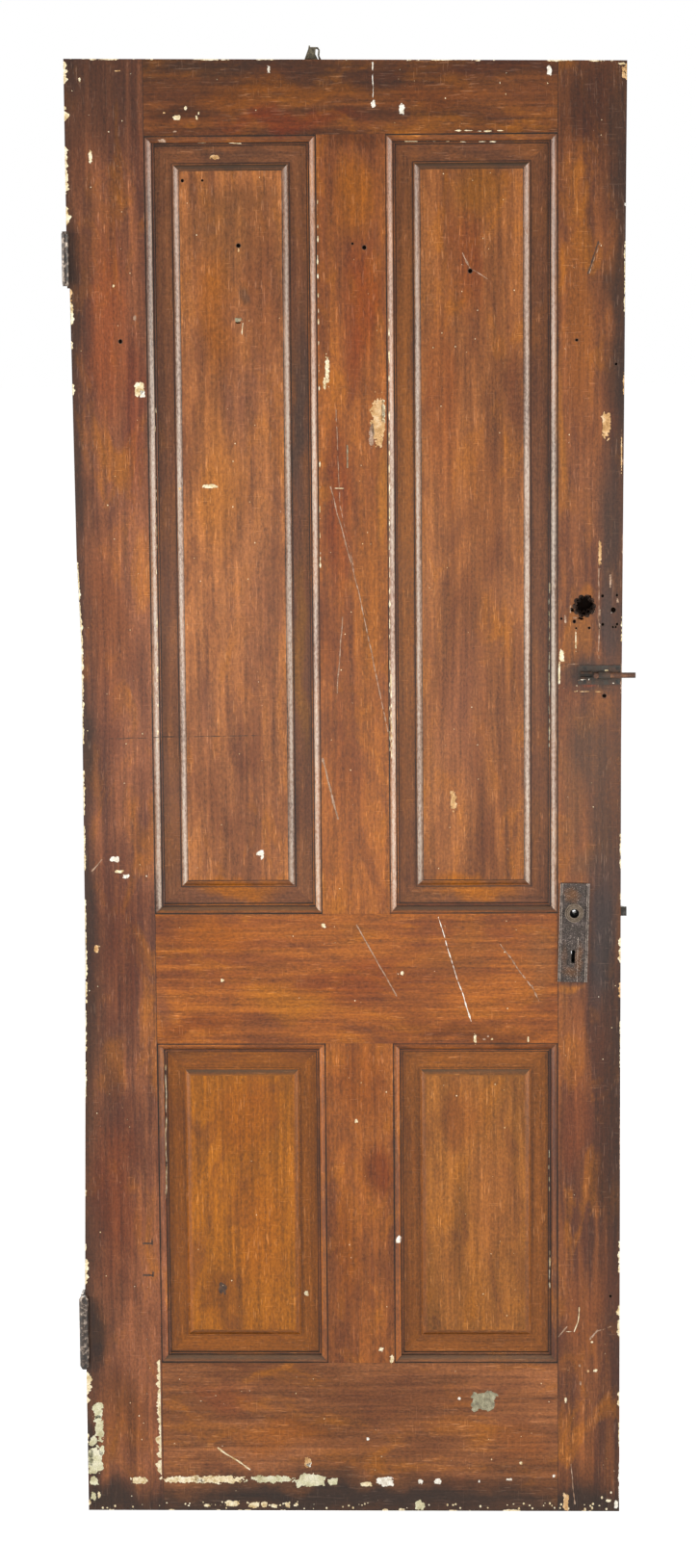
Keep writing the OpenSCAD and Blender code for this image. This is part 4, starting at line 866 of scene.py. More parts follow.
# Chips by photo pixel: x, y, width, height, what shows.
chips = [
    # Along the bottom rail's old kick mark.
    (144, 1537, 18, 7, "cream"), (190, 1536, 40, 7, "cream"), (228, 1536, 48, 8, "cream"),
    (282, 1536, 44, 7, "green"), (322, 1537, 30, 13, "green"), (346, 1538, 10, 8, "green"),
    (380, 1541, 12, 5, "cream"), (400, 1538, 19, 10, "white"), (437, 1538.6, 5, 5, "white"),
    (455, 1538, 7, 6, "white"), (529, 1536, 5.4, 2.4, "white"), (497.6, 1538, 1.6, 3, "white"),
    (575.3, 1532.4, 2.6, 3, "white"),
    # Low on the hinge edge.
    (102, 1464, 10, 17, "green"), (103, 1483, 9, 30, "green"), (97, 1496, 8, 9, "green"),
    (99, 1516, 15, 28, "green"), (106, 1506, 5, 10, "green"), (94, 1512, 6, 16, "green"),
    (98, 1538, 9, 9, "green"), (97, 1553, 5, 10, "green"), (93, 1560, 3, 6, "cream"),
    (103, 1552, 3, 6, "cream"),
    # On the bottom edge.
    (240, 1561, 18, 6, "cream"), (263.6, 1562.4, 10, 6, "cream"), (274.3, 1562, 5.4, 5.4, "cream"),
    (284.8, 1563.4, 6, 4, "cream"), (298.4, 1562.6, 5, 5.4, "cream"), (308, 1562, 3, 3.6, "cream"),
    (436, 1563, 9, 10, "green"), (400, 1568, 7, 3, "cream"), (417, 1568, 5, 4, "cream"),
    (587.7, 1559.6, 5.4, 17, "tan"), (215, 1563, 6, 3, "cream"),
    # Single marks on the rails, muntins and panels.
    (502, 1455, 25, 21, "grey"), (393, 437, 13, 44, "tan"), (398, 428, 4, 20, "cream"),
    (386, 452, 5, 22, "haze"), (629.6, 441, 9, 24, "tan"), (471, 833, 6, 19, "tan"),
    (217.8, 505, 13, 3.6, "cream"), (270, 886, 7, 5, "white"), (272, 890, 3, 6, "white"),
    (340, 384, 4, 26, "cream"), (337, 398, 3, 10, "cream"), (320, 1518, 7, 11, "tan"),
    (321, 1521, 5, 4, "white"), (183.4, 122, 7, 4.4, "cream"), (192.6, 112.4, 3, 3.8, "cream"),
    (204.2, 122, 1.8, 4.6, "cream"), (206.4, 117.4, 1.4, 3, "cream"), (170.3, 117, 2.6, 1.6, "tan"),
    (181.7, 136.6, 3.4, 1.4, "haze"), (279, 72, 2.5, 7, "white"), (417.6, 113, 5, 11, "white"),
    (570.6, 73, 4, 9, "white"), (387.6, 108, 4, 7, "white"), (93.8, 163, 3.4, 12, "cream"),
    (82.6, 83, 2, 4, "cream"), (122, 73.6, 5, 1.2, "tan"), (118, 297, 2, 3, "cream"),
    (145, 404, 9, 13, "cream"), (148, 409, 5, 8, "white"), (119, 892, 8, 6, "white"),
    (130.6, 910, 6, 4, "white"), (124, 905, 10, 3, "cream"), (100, 985, 5, 7, "tan"),
    (231, 1018, 3, 3, "cream"), (417.6, 1010, 3, 4, "cream"), (493.4, 1079, 2.4, 9, "cream"),
    (548.6, 1079, 1.6, 6, "cream"), (318, 1345, 4, 5, "cream"), (414, 1288, 5, 7, "white"),
    (396, 1401, 5, 4, "cream"), (407, 1411, 4, 8, "cream"), (477, 1452, 3, 3, "white"),
    (382, 1494, 3, 3, "white"), (541, 1519, 3, 3, "cream"), (587.5, 1453.6, 2.2, 4.6, "cream"),
    (618.5, 1423, 4.6, 3, "cream"), (611, 1423.6, 2.4, 2.2, "tan"), (583.4, 681, 5, 13, "cream"),
    (580.8, 700, 2, 22, "cream"), (336, 961, 4, 4, "cream"), (370, 1164, 3, 4, "cream"),
    (615, 1393.5, 2, 2, "cream"), (602, 1418, 2, 3, "haze"), (603, 1436, 2, 5, "haze"),
    (186, 508, 3, 3, "tan"), (140, 330, 3, 5, "haze"), (168, 146, 8, 3, "haze"), (222, 163, 10, 4, "tan"),
    (507, 1076, 2, 2, "haze"), (503, 1079, 3, 1.5, "haze"), (511, 1079, 2, 2, "cream"),
    (231, 1339, 8, 12, "black"), (153, 1291, 12, 2, "black"), (154, 1324, 11, 2, "black"),
    (158, 1290, 1.6, 7, "black"), (159, 1323, 1.6, 6, "black"), (247.4, 259, 1.5, 5, "tan"),
    # The last mark below is painted shade for a small hole.
    (246.6, 332.2, 6.8, 4.6, "grey"), (248.4, 332.2, 2.6, 2.6, "cream"), (247.6, 335.3, 5.2, 1.4, "pit"),
    # On the lock edge.
    (645.5, 470, 1, 40, "tan"), (646, 66, 7, 2, "cream"), (648, 75, 4, 11, "tan"),
    (640, 1562, 4, 8, "white"), (632, 1558, 5, 3, "cream"),
    # Round the bored hole and the slide bolt.
    (592.4, 632, 1.3, 8, "haze"), (597, 641.4, 5, 1.3, "haze"), (623, 574, 3, 24, "tan"),
    (634, 603, 2, 12, "haze"), (598, 665, 1, 20, "cream"), (587, 643, 2, 9, "haze"),
    (641.6, 624, 2, 5, "haze"), (622.5, 650, 1.6, 8, "haze"), (617.6, 635, 1.2, 2.4, "haze"),
    (635.6, 635, 2, 3, "white"), (623, 636, 1.6, 7, "haze"),
    # Scraped edges of the slide bolt's rear guide, and painted highlights on two screw heads.
    (605, 705.5, 5, 0.9, "white"), (611.5, 705, 0.9, 3, "white"), (601, 706, 2, 1, "haze"),
    (629.6, 696, 3, 1.4, "cream"), (637, 709.3, 1.6, 1.4, "white"),
    # Painted shade on the broken lands between the drill holes of the old night latch.
    (594, 633, 4, 4, "pit"), (612, 619.5, 5, 3, "pit"), (616.5, 633, 3, 5, "pit"), (603, 642, 5, 3, "pit"),
]
scratches = [
    ((454.6, 952), (490, 1062), 1.5, "white", 0.5), ((370, 960), (412.5, 1035), 1.8, "haze", 0.3),
    ((519.6, 980), (552.8, 1026), 1.8, "haze", 0.5), ((343, 505), (372, 612), 1.5, "haze", 0.3),
    ((372, 612), (403, 760), 1.5, "haze", 0.4), ((349, 425), (353, 525), 1.0, "haze", 0.4),
    ((353, 525), (368, 592), 1.0, "haze", 0.5), ((347, 507), (357, 507), 1.0, "cream", 0.5),
    ((360.5, 462), (361, 486), 1.2, "grey", 0.2), ((335, 787), (351, 851), 2.4, "haze", 0.4),
    ((226, 1503), (260, 1526), 2.4, "cream", 0.4), ((480, 262), (489, 280), 2.0, "haze", 0.2),
    ((489, 279), (507, 290), 1.1, "haze", 0.3), ((622, 590), (622, 684), 1.3, "haze", 0.4),
    ((113, 767), (277, 764), 1.2, "black", 0.5), ((387, 64), (387, 108), 1.6, "white", 0.7),
    ((95, 905), (106, 892), 1.8, "haze", 0.3), ((356, 640), (350, 720), 1.6, "haze", 0.4),
    ((610, 285), (622, 250), 2.0, "black", 0.5), ((612, 284), (623, 252), 1.1, "haze", 0.5),
    ((171.5, 1107), (172.5, 1248), 1.6, "cream", 0.7), ((404, 330), (405, 780), 1.4, "cream", 1.3),
    ((406, 700), (407, 800), 1.5, "cream", 0.8), ((161, 420), (164, 800), 1.2, "cream", 1.7),
    ((570.4, 600), (570.8, 780), 1.3, "cream", 0.9), ((570, 1190), (571, 1250), 1.4, "cream", 1.2),
    ((571, 1300), (571, 1340), 2.0, "cream", 0.9), ((329.4, 200), (333, 620), 1.2, "cream", 1.9),
    ((472, 135.5), (524, 136), 2.0, "cream", 0.9), ((420, 146.5), (520, 147), 1.0, "cream", 1.0),
    ((205, 148), (250, 148.5), 1.0, "cream", 0.9), ((612, 688), (590, 690), 1.0, "haze", 0.6),
    ((596, 718), (640, 718), 1.2, "tan", 0.9), ((552, 1022), (560, 1040), 1.6, "haze", 0.6),
    ((601.5, 1357), (600, 1374), 1.2, "cream", 0.0), ((600, 1373), (596.5, 1383), 1.2, "cream", 0.0),
    ((597, 1382.6), (588, 1382), 0.9, "cream", 0.6), ((612, 1391), (621, 1381), 2.4, "haze", 0.2),
    ((620, 1382), (635, 1377), 1.3, "haze", 0.6), ((580, 1388), (589, 1377), 2.0, "haze", 0.5),
    ((593, 1520), (597, 1562), 1.4, "haze", 0.4), ((252, 335.5), (251.4, 347.5), 1.0, "cream", 0.0),
]

# Losses along the leaf's upright edges and the bottom rail's shoulder: first and last row, width, what shows.
hinge_edge_losses = [
    (60, 85, 4.2, "cream"), (107, 124, 4.6, "cream"), (149, 200, 4.0, "cream"), (211, 232, 5.8, "cream"),
    (297, 312, 3.4, "tan"), (311, 336, 3.6, "cream"), (352, 361, 2.6, "cream"), (396, 409, 3.0, "cream"),
    (582, 642, 1.4, "cream"), (640, 700, 2.0, "cream"), (698, 772, 1.7, "cream"), (798, 846, 1.9, "cream"),
    (856, 906, 1.5, "cream"), (932, 986, 1.3, "cream"), (984, 1042, 2.0, "cream"),
    (1048, 1092, 1.4, "cream"), (1102, 1140, 0.9, "cream"), (1235, 1242, 2.2, "cream"),
    (1291, 1299, 1.8, "cream"), (1306, 1334, 4.0, "cream"), (1424, 1449, 7.5, "cream"),
    (1450, 1458, 4.0, "cream"), (1488, 1499, 2.0, "cream"),
]
lock_edge_losses = [
    (68, 86, 3.0, "tan"), (212, 217, 1.2, "white"), (252, 332, 1.0, "cream"), (388, 412, 1.3, "tan"),
    (478, 486, 1.3, "haze"), (556, 577, 1.0, "haze"), (640, 668, 0.9, "cream"), (690, 722, 1.1, "haze"),
    (866, 905, 1.2, "cream"), (928, 940, 0.9, "cream"), (974, 1001, 2.4, "cream"), (1020, 1037, 2.6, "tan"),
    (1060, 1110, 0.8, "cream"), (1150, 1215, 0.8, "haze"), (1288, 1322, 2.0, "cream"),
    (1354, 1388, 3.0, "cream"), (1444, 1460, 2.2, "cream"), (1476, 1502, 1.2, "cream"),
    (1518, 1560, 1.0, "white"),
]
shoulder_losses = [(1411, 1443, 4.4, "cream"), (1441, 1480, 5.0, "cream"), (1478, 1532, 5.6, "cream")]


def outline_edge(z, side):
    """Where the leaf's own edge is at that height, found on the surface."""
    x = side * (LEAF_HALF + 4)
    while skin_depth(x, z) is None and abs(x) > LEAF_HALF - 20:
        x -= side * 0.4
    return x


def strip_loss(bm, edge_at, side, first, last, wide, kind):
    """A nibbled strip along an upright line, between two photo rows, wide in pixels.

    edge_at gives the line's x at a height, and the strip spreads from it away from that side.
    """
    top = photo_to_face(PHOTO_W / 2, first).z / MM
    foot = photo_to_face(PHOTO_W / 2, last).z / MM
    lines = {}

    def cover(x, z):
        key = round(z)
        if key not in lines:
            lines[key] = edge_at(key)
        away = side * (lines[key] - x)
        reach = wide * PIXEL_MM * (0.7 + 0.8 * ragged(z, 0, 9, first) + 0.6 * ragged(z, 5, 3.2, last))
        reach = min(reach, 0.9 * (z - foot), 0.9 * (top - z))
        return min(reach - away + 0.9 * ragged(x, z, 2.4, first), away - 0.05)

    near = edge_at(round((foot + top) / 2))
    spread = wide * 2.6 + 6
    lay_loss(bm, (near - spread, foot), (near + spread, top), cover, kind, EDGE_GRID)


def end_wear(bm, z_edge, down, x_from, x_to, wide, kind, seed, gap):
    """The same along the top or the bottom edge."""

    def cover(x, z):
        away = (z_edge(x) - z) * down
        reach = wide * (0.3 + 0.8 * ragged(x, 0, 40, seed) + 0.5 * ragged(x, 5, 12, seed) - gap)
        return min(reach - away + 0.9 * ragged(x, z, 3.5, seed), away - 0.05)

    middle = z_edge((x_from + x_to) / 2)
    lay_loss(bm, (x_from, middle - 12), (x_to, middle + 12), cover, kind, END_GRID)


def top_line(x):
    """The height of the top edge, which falls to the lock side."""
    return LEAF_TOP - TOP_FALL * (x + LEAF_HALF) / (2 * LEAF_HALF)


bm = bmesh.new()
for px, py, wide, high, kind in chips:
    chip(bm, px, py, wide, high, kind)
for start, end, wide, kind, gaps in scratches:
    scratch(bm, start, end, wide, kind, gaps)
for side, losses in ((-1, hinge_edge_losses), (1, lock_edge_losses)):
    for first, last, wide, kind in losses:
        strip_loss(bm, lambda z: outline_edge(z, side), side, first, last, wide, kind)
for first, last, wide, kind in shoulder_losses:
    strip_loss(bm, lambda z: LEFT_OPENING[0] - 2, 1, first, last, wide, kind)
end_wear(bm, top_line, 1, -378, 378, 3.0, "cream", 13.7, 0.16)
end_wear(bm, lambda x: 0.0, -1, -376, 372, 2.8, "cream", 15.1, 0.2)
rim = [e for e in bm.edges if e.is_boundary]
skirt = bmesh.ops.extrude_edge_only(bm, edges=rim)["geom"]
for part in skirt:
    if isinstance(part, bmesh.types.BMVert):
        part.co.y += LIFT * 1.6
bmesh.ops.delete(bm, geom=[v for v in bm.verts if not v.link_faces], context="VERTS")
bmesh.ops.recalc_face_normals(bm, faces=bm.faces[:])
finish_piece(piece_from(bm, "paint_losses", primers.values()), "door")


# Small repeated shapes

def grow(name, base, tree, values):
    """Runs a Geometry Nodes tree on a base mesh and gives its result as a plain object."""
    holder = put(name + "_base", base)
    modifier = holder.modifiers.new("grow", "NODES")
    modifier.node_group = tree
    for item in tree.interface.items_tree:
        if item.in_out == "INPUT" and item.name in values:
            modifier[item.identifier] = values[item.name]
    bpy.context.view_layer.update()
    settled = holder.evaluated_get(bpy.context.evaluated_depsgraph_get())
    mesh = bpy.data.meshes.new_from_object(settled)
    bpy.data.objects.remove(holder)
    return put(name, mesh)


def new_tree(name, inputs):
    """An empty Geometry Nodes tree with named inputs, the function that adds a node to it, and the inputs."""
    tree = bpy.data.node_groups.new(name, "GeometryNodeTree")
    tree.interface.new_socket("Base", in_out="INPUT", socket_type="NodeSocketGeometry")
    tree.interface.new_socket("Grown", in_out="OUTPUT", socket_type="NodeSocketGeometry")
    for key, kind in inputs.items():
        tree.interface.new_socket(key, in_out="INPUT", socket_type="NodeSocket" + kind)
    node = partial(add, tree)
    return tree, node, node("NodeGroupInput", out=None).outputs


# A quarter turn about an axis.
QUARTER_ABOUT_X = (math.radians(90), 0.0, 0.0)
QUARTER_ABOUT_Y = (0.0, math.radians(90), 0.0)


def scatter_tree():
    """Low round blobs scattered over the base's faces, in clumps."""
    tree, node, given = new_tree("scattered_blobs", {
        "Spacing": "Float", "Density": "Float", "Seed": "Int", "Smallest": "Float", "Largest": "Float",
        "Flatness": "Float", "Clump": "Float", "Material": "Material"})
    clumps = node(NOISE, {"Scale": given["Clump"], "Detail": 2.0})
    clumps = node(RANGE, clumps, 0.40, 0.62, 0.06, 1.0)
    points = node("GeometryNodeDistributePointsOnFaces",
                  {"Mesh": given["Base"], "Distance Min": given["Spacing"], "Density Max": given["Density"],
                   "Density Factor": clumps, "Seed": given["Seed"]}, out=None, distribute_method="POISSON")
    size = node("FunctionNodeRandomValue",
                {2: given["Smallest"], 3: given["Largest"], "Seed": given["Seed"]}, out=1, data_type="FLOAT")
    longer = node("FunctionNodeRandomValue", {2: 0.7, 3: 1.5, "Seed": 7}, out=1, data_type="FLOAT")
    length = node(MATH, size, longer, operation="MULTIPLY")
    height = node(MATH, size, given["Flatness"], operation="MULTIPLY")
    scale = node("ShaderNodeCombineXYZ", size, length, height)
    blob = node("GeometryNodeMeshIcoSphere", {"Radius": 1.0, "Subdivisions": 2})
    placed = node("GeometryNodeInstanceOnPoints",
                  {"Points": points.outputs["Points"], "Instance": blob,
                   "Rotation": points.outputs["Rotation"], "Scale": scale})
    solid = node("GeometryNodeRealizeInstances", placed)
    coated = node("GeometryNodeSetMaterial", {"Geometry": solid, "Material": given["Material"]})
    node("NodeGroupOutput", coated, out=None)
    return tree


def pit_tree():
    """A flat dark disc of painted shade for the hole, in a raised, frayed rim at each point, as wide as the
    point says.
    """
    tree, node, given = new_tree("nail_pits", {"Rim": "Material", "Dark": "Material"})
    radius = node("GeometryNodeInputNamedAttribute", {"Name": "pit_r"}, data_type="FLOAT")
    wobble = node("FunctionNodeRandomValue", {2: 0.85, 3: 1.2, "Seed": 5}, out=1, data_type="FLOAT")
    tall = node(MATH, radius, wobble, operation="MULTIPLY")
    scale = node("ShaderNodeCombineXYZ", radius, tall, 0.001)
    rim = node("GeometryNodeMeshCone", {"Vertices": 11, "Radius Top": 1.2, "Radius Bottom": 1.5,
                                        "Depth": 0.25}, fill_type="NONE")
    dark = node("GeometryNodeMeshCone", {"Vertices": 11, "Radius Top": 0.8, "Radius Bottom": 1.25,
                                         "Depth": 0.14})
    both = []
    for shape, material in ((rim, given["Rim"]), (dark, given["Dark"])):
        placed = node("GeometryNodeInstanceOnPoints", {"Points": given["Base"], "Instance": shape,
                                                       "Scale": scale, "Rotation": QUARTER_ABOUT_X})
        solid = node("GeometryNodeRealizeInstances", placed)
        both.append(node("GeometryNodeSetMaterial", {"Geometry": solid, "Material": material}))
    joined = node("GeometryNodeJoinGeometry", out=None)
    for part in both:
        tree.links.new(part, joined.inputs[0])
    node("NodeGroupOutput", joined.outputs[0], out=None)
    return tree


def coil_tree():
    """A round wire wound along the x axis, closed at both ends."""
    tree, node, given = new_tree("wound_wire", {
        "Turns": "Float", "Coil radius": "Float", "Wire radius": "Float", "Length": "Float",
        "Start": "Vector", "Material": "Material"})
    path = node("GeometryNodeCurveSpiral",
                {"Resolution": 14, "Rotations": given["Turns"], "Start Radius": given["Coil radius"],
                 "End Radius": given["Coil radius"], "Height": given["Length"]})
    section = node("GeometryNodeCurvePrimitiveCircle", {"Resolution": 8, "Radius": given["Wire radius"]})
    wire = node("GeometryNodeCurveToMesh", {"Curve": path, "Profile Curve": section, "Fill Caps": True})
    laid = node("GeometryNodeTransform", {"Geometry": wire, "Translation": given["Start"],
                                          "Rotation": QUARTER_ABOUT_Y})
    solid = node("GeometryNodeRealizeInstances", laid)
    coated = node("GeometryNodeSetMaterial", {"Geometry": solid, "Material": given["Material"]})
    node("NodeGroupOutput", coated, out=None)
    return tree


def quads(rectangles, name):
    """A plain mesh of upright rectangles: low x, high x, low z, high z and depth, in millimetres."""
    points = []
    for x0, x1, z0, z1, depth in rectangles:
        points += [(x * MM, depth * MM, z * MM) for x, z in ((x0, z0), (x1, z0), (x1, z1), (x0, z1))]
    mesh = bpy.data.meshes.new(name)
    mesh.from_pydata(points, [], [tuple(range(i, i + 4)) for i in range(0, len(points), 4)])
    return mesh


scattered = scatter_tree()

# White spatter of old ceiling paint on the faces and the raised fields.
face_mm = FACE / MM
field_mm = -12.0
spatter_base = quads([
    (-374, -282, 20, 2020, face_mm), (296, 368, 20, 2014, face_mm), (-268, 282, 1944, 2018, face_mm),
    (-268, 282, 690, 852, face_mm), (-268, 282, 12, 206, face_mm), (-32, 46, 874, 1922, face_mm),
    (-29, 49, 228, 668, face_mm), (-224, -90, 914, 1880, field_mm), (104, 238, 914, 1880, field_mm),
    (-224, -87, 270, 626, field_mm), (107, 238, 270, 626, field_mm),
], "spatter_base")
paint_spatter = grow("paint_spatter", spatter_base, scattered,
                     {"Spacing": 0.006, "Density": 520.0, "Seed": 4, "Smallest": 0.00022, "Largest": 0.0008,
                      "Flatness": 0.35, "Clump": 9.0, "Material": primers["cream"]})
finish_piece(paint_spatter, "door")

# Flecks where mops and boots knocked the paint off the foot.
foot_base = quads([(-372, 330, 2.6, 12, face_mm), (330, 370, 2.6, 36, face_mm)], "foot_base")
foot_flecks = grow("foot_flecks", foot_base, scattered,
                   {"Spacing": 0.0035, "Density": 16000.0, "Seed": 12, "Smallest": 0.0004, "Largest": 0.0016,
                    "Flatness": 0.15, "Clump": 26.0, "Material": primers["cream"]})
finish_piece(foot_flecks, "door")

# Worn leaf ornament on the cast plate: low bumps on its ground, clear of ring, keyhole and screws.
CELL = 2.4
PLATE_RISE = 1.6
RING_CLEAR = 15.0
SURROUND_HALF = 7.6
SURROUND_ENDS = (-78, -47)
GROUND_ENDS = (-91, 36)
ground = []
lean = Matrix.Rotation(PLATE_LEAN, 3, "Y")
for column in range(-7, 7):
    for row in range(-39, 16):
        u, v = (column + 0.5) * CELL, (row + 0.5) * CELL
        in_ring = math.hypot(u, v) < RING_CLEAR
        in_surround = abs(u) < SURROUND_HALF and SURROUND_ENDS[0] < v < SURROUND_ENDS[1]
        if not (in_ring or in_surround) and GROUND_ENDS[0] <= v <= GROUND_ENDS[1]:
            ground.append((u, v))
bm = bmesh.new()
for u, v in ground:
    ring = [(-0.5, -0.5), (0.5, -0.5), (0.5, 0.5), (-0.5, 0.5)]
    corners = [lean @ Vector((u + a * CELL, 0, v + b * CELL)) for a, b in ring]
    points = [((KNOB_X + c.x) * MM, FACE - PLATE_RISE * MM, (KNOB_Z + c.z) * MM) for c in corners]
    bm.faces.new([bm.verts.new(point) for point in points])
plate_relief = grow("plate_relief", mesh_from(bm, "plate_ground"), scattered,
                    {"Spacing": 0.0017, "Density": 420000.0, "Seed": 9, "Smallest": 0.0005, "Largest": 0.0012,
                     "Flatness": 0.6, "Clump": 160.0, "Material": worn_plate})
finish_piece(plate_relief, "door")

# Nail and screw holes by photo pixel: x, y and radius in pixels.
nail_holes = [
    (625.8, 618.7, 1.2), (640.8, 618, 1.0), (637, 633.2, 2.2), (626, 648.3, 1.2), (641, 648, 1.1),
    (636.6, 651, 0.9), (639.5, 651, 0.9), (583, 642.3, 1.0), (596.5, 645.2, 1.3), (598.4, 652.3, 0.8),
    (612, 652, 1.1), (627.6, 722.4, 1.7), (634, 1345.6, 1.2), (599, 353, 1.3), (125, 354.6, 1.6),
    (189, 187.5, 1.2), (209.8, 187.2, 1.0), (247.4, 255, 1.8), (378.3, 257, 1.7), (366, 253, 1.0),
    (488.4, 281.3, 1.8), (640, 378, 1.2),
]
pit_points = []
for px, py, _ in nail_holes:
    spot = photo_to_face(px, py)
    depth = skin_depth(spot.x / MM, spot.z / MM)
    pit_points.append((spot.x, (FACE if depth is None else depth) - 0.1 * MM, spot.z))
pits = bpy.data.meshes.new("nail_places")
pits.from_pydata(pit_points, [], [])
pit_r = pits.attributes.new("pit_r", "FLOAT", "POINT")
pit_r.data.foreach_set("value", [r * PIXEL_MM * MM for _, _, r in nail_holes])
# The dark discs are painted shade for the holes.
nail_pits = grow("nail_pits", pits, pit_tree(), {"Rim": primers["black"], "Dark": primers["pit"]})
finish_piece(nail_pits, "door")

# Splintered wood inside the old night latch's hole: three ragged collars, each deeper and narrower.
splinter_wood = mottled("splintered_dark_pine", ("#120B07", "#2A190E", "#4A2F1E"), 5, (0, 0),
                        (0.95, 0.85), 0.4)
AROUND = 72
# The splinters end just inside the hole's wall.
WALL_R = 17.0
bm = bmesh.new()
for step, (depth, inner, bite) in enumerate(((0.9, 14.2, 2.6), (6.0, 12.0, 4.2), (14.0, 9.0, 5.0))):
    loops = []
    for back, wider in ((0.0, 3.4), (0.0, 0.0), (4.5, 0.8), (5.0, 3.4)):
        loop = []
        for k in range(AROUND):
            a = 2 * math.pi * k / AROUND
            wave = noise.noise(Vector((2.4 * math.cos(a), 2.4 * math.sin(a), 3.0 * step)))
            fine = noise.noise(Vector((9 * math.cos(a), 9 * math.sin(a), 7.0 + step)))
            r = min(WALL_R, inner + bite * (wave + 0.5 * fine) + wider)
            y = FACE + (depth + back + 0.7 * fine) * MM
            x, z = OLD_HOLE[0] + r * math.cos(a), OLD_HOLE[1] + r * math.sin(a)
            loop.append(bm.verts.new((x * MM, y, z * MM)))
        loops.append(loop)
    for front, behind in zip(loops, loops[1:]):
        bridge(bm, front, behind)
bmesh.ops.recalc_face_normals(bm, faces=bm.faces[:])
finish_piece(piece_from(bm, "hole_splinters", [splinter_wood]), "door")

# The lock's lever stands behind the keyhole and leaves a slit of light beside it.
LEVER_Y = 3.0
LEVER_T = 1.4
outline = [(-7, -23), (14, -23), (14, 5), (9, 7.2), (-1.3, 7.2), (-1.5, -6), (-7, -7.5)]
bm = bmesh.new()
sheets = []
for y, inset in ((LEVER_Y, 0.25), (LEVER_Y + 0.3, 0.0), (LEVER_Y + LEVER_T, 0.0)):
    sheets.append([bm.verts.new(((KEY_X + x - inset * (1 if x > 3 else -1)) * MM, y * MM, (KEY_Z + z) * MM))
                   for x, z in outline])
bm.faces.new(sheets[0])
bm.faces.new(sheets[-1])
for front, behind in zip(sheets, sheets[1:]):
    bridge(bm, front, behind)
bmesh.ops.recalc_face_normals(bm, faces=bm.faces[:])
finish_piece(piece_from(bm, "lock_lever", [greased_iron]), "door")

# Old grease has narrowed the hub's square hole: half the square, half of what is left, and that one's turn.
GREASE_SIDES = 16
HUB_HALF = 3.7
GREASE_HALF = 2.3
GREASE_TURN = math.radians(24)
bm = bmesh.new()
rings = []
for y in (-7.6, -2.0, 3.0, 7.6):
    outer, inner = [], []
    for k in range(GREASE_SIDES):
        a = 2 * math.pi * (k + 0.5) / GREASE_SIDES
        square = HUB_HALF / max(abs(math.cos(a)), abs(math.sin(a)))
        b = (a + GREASE_TURN) % (math.pi / 2) - math.pi / 4
        hole = GREASE_HALF / math.cos(b) + 0.3 * noise.noise(Vector((math.cos(a), math.sin(a), y)))
        for loop, r in ((outer, square), (inner, hole)):
            x, z = KNOB_X + r * math.cos(a), KNOB_Z + r * math.sin(a)
            loop.append(bm.verts.new((x * MM, y * MM, z * MM)))
    rings.append((outer, inner))
for (outer, inner), (outer_b, inner_b) in zip(rings, rings[1:]):
    bridge(bm, inner, inner_b)
    bridge(bm, outer_b, outer)
for outer, inner in (rings[0], rings[-1]):
    bridge(bm, outer, inner)
bmesh.ops.recalc_face_normals(bm, faces=bm.faces[:])
finish_piece(piece_from(bm, "hub_grease", [greased_iron]), "hub")

# The latch's spring, wound at one length in place of the carried-over part; the real one shortens as the bolt
# goes in.
WIRE_R = 0.5 * MM
coil_low, coil_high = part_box("latch_spring")
coil_length = coil_high.x - coil_low.x
coil_start = (coil_low + coil_high) / 2
coil_start.x = coil_low.x + WIRE_R
latch_coil = grow("latch_coil", bpy.data.meshes.new("coil_base"), coil_tree(),
                  {"Turns": 4.0, "Coil radius": (coil_high.z - coil_low.z) / 2 - WIRE_R,
                   "Wire radius": WIRE_R, "Length": coil_length - 2 * WIRE_R, "Start": coil_start,
                   "Material": dull_steel})
finish_piece(latch_coil, "door")
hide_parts("latch_spring")
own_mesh(latch_coil)


# Light, floor and camera

def soft_box(name, at, look, wide, high, watts, colour):
    """A rectangular lamp that faces a point."""
    lamp = bpy.data.lights.new(name, "AREA")
    lamp.shape = "RECTANGLE"
    lamp.size = wide
    lamp.size_y = high
    lamp.energy = watts
    lamp.color = linear(colour)[:3]
    made = put(name, lamp)
    made.location = at
    made.rotation_euler = (Vector(look) - Vector(at)).to_track_quat("-Z", "Y").to_euler()


def seen_by_eye(node):
    """1 for what is seen, straight, mirrored or through glass, and 0 for light that falls on things."""
    rays = node("ShaderNodeLightPath", out=None).outputs
    seen = node(MATH, rays["Is Camera Ray"], rays["Is Glossy Ray"], operation="MAXIMUM")
    return node(MATH, seen, rays["Is Transmission Ray"], operation="MAXIMUM")


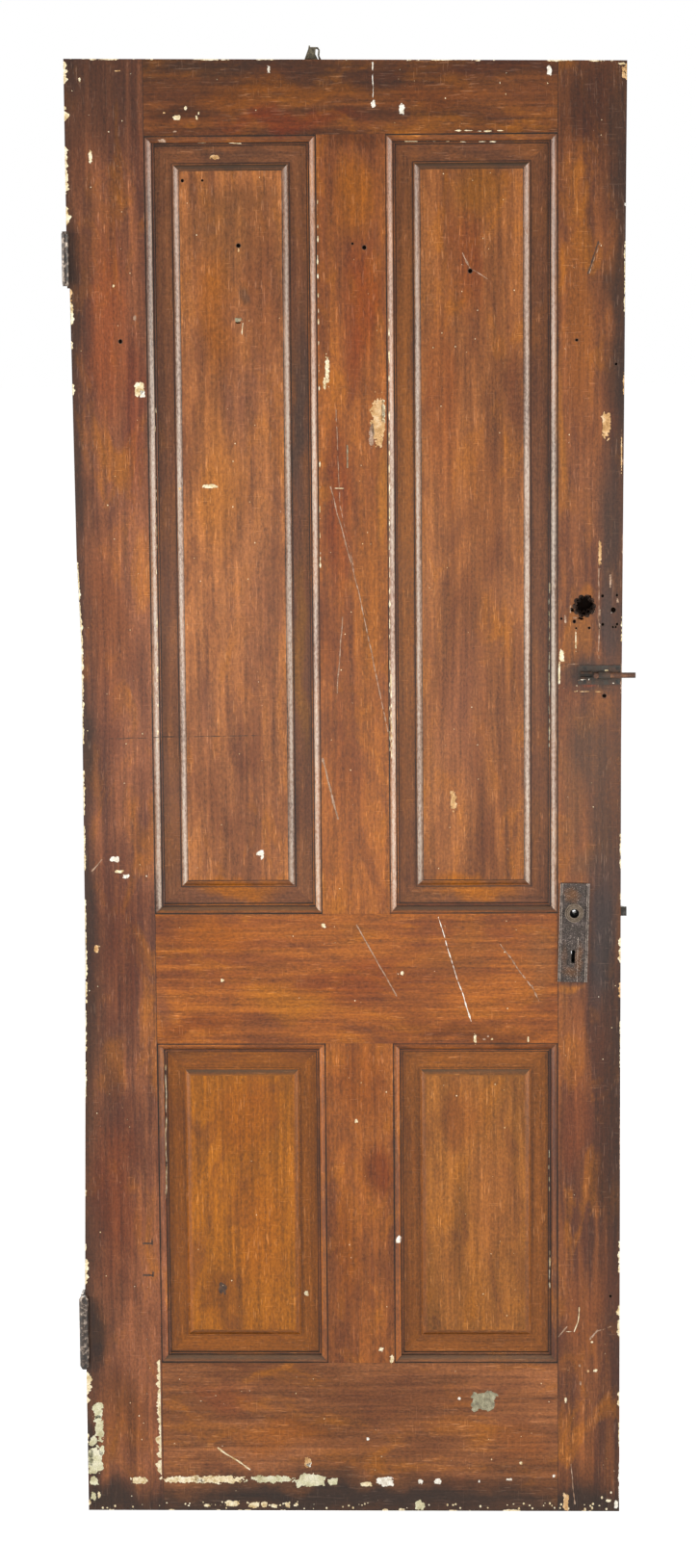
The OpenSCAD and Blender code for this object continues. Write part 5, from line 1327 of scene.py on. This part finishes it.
# Two soft boxes stand beside the door and light its mouldings from the sides, with weak fills.
SOFT_WHITE = "#FFFBF2"
PURE_WHITE = "#FFFFFF"
BOX_AWAY = 2.4
BOX_FORWARD = -0.95
BOX_HEIGHT = 1.32
BOX_SIZE = (1.47, 1.95)
BOX_WATTS = 117
for name, side in (("left_soft_box", -1), ("right_soft_box", 1)):
    soft_box(name, (side * BOX_AWAY, BOX_FORWARD, BOX_HEIGHT), (0, BOX_FORWARD, BOX_HEIGHT), *BOX_SIZE,
             BOX_WATTS, SOFT_WHITE)
soft_box("back_fill", (0.0, 3.4, 1.6), (0, 0, 1.0), 2.4, 1.8, 60, SOFT_WHITE)
soft_box("low_fill", (0.2, -3.6, 0.8), (0, 0, 0.6), 2.4, 0.8, 12, PURE_WHITE)

world = bpy.data.worlds.new("white_room")
world.use_nodes = True
bpy.context.scene.world = world
world.node_tree.nodes.clear()
node = partial(add, world.node_tree)
strength = node(RANGE, {0: seen_by_eye(node), 3: 0.25, 4: 1.0})
sky = node("ShaderNodeBackground", {"Color": linear(PURE_WHITE), "Strength": strength})
node("ShaderNodeOutputWorld", sky, out=None)

# A white painted studio floor: it shows as white, and a little darker in the door's shadow.
FLOOR_SIDE = 30
FLOOR_FRONT = -12
FLOOR_BACK = 60
floor_paint, node = fresh_material("white_studio_floor")
chalk = node(NOISE, {"Scale": 3.0, "Detail": 2.0})
chalk = node(RANGE, {0: chalk, 3: 0.34, 4: 0.36})
paint = node("ShaderNodeBsdfDiffuse", {"Color": chalk})
seen = node(MATH, seen_by_eye(node), 0.93, operation="MULTIPLY")
glow = node("ShaderNodeEmission", {"Color": linear(PURE_WHITE), "Strength": seen})
both = node("ShaderNodeAddShader", paint, glow)
node("ShaderNodeOutputMaterial", both, out=None)
floor_mesh = bpy.data.meshes.new("studio_floor")
floor_corners = [(-FLOOR_SIDE, FLOOR_FRONT, 0), (FLOOR_SIDE, FLOOR_FRONT, 0),
                 (FLOOR_SIDE, FLOOR_BACK, 0), (-FLOOR_SIDE, FLOOR_BACK, 0)]
floor_mesh.from_pydata(floor_corners, [], [(0, 1, 2, 3)])
floor_mesh.materials.append(floor_paint)
floor = put("studio_floor", floor_mesh)

lens = bpy.data.cameras.new("camera")
lens.sensor_fit = "VERTICAL"
lens.sensor_height = SENSOR
lens.lens = LENS
camera = put("camera", lens)
camera.location = CAMERA_AT
camera.rotation_euler = CAMERA_TURN
bpy.context.scene.camera = camera
bpy.context.scene.view_settings.view_transform = "Standard"
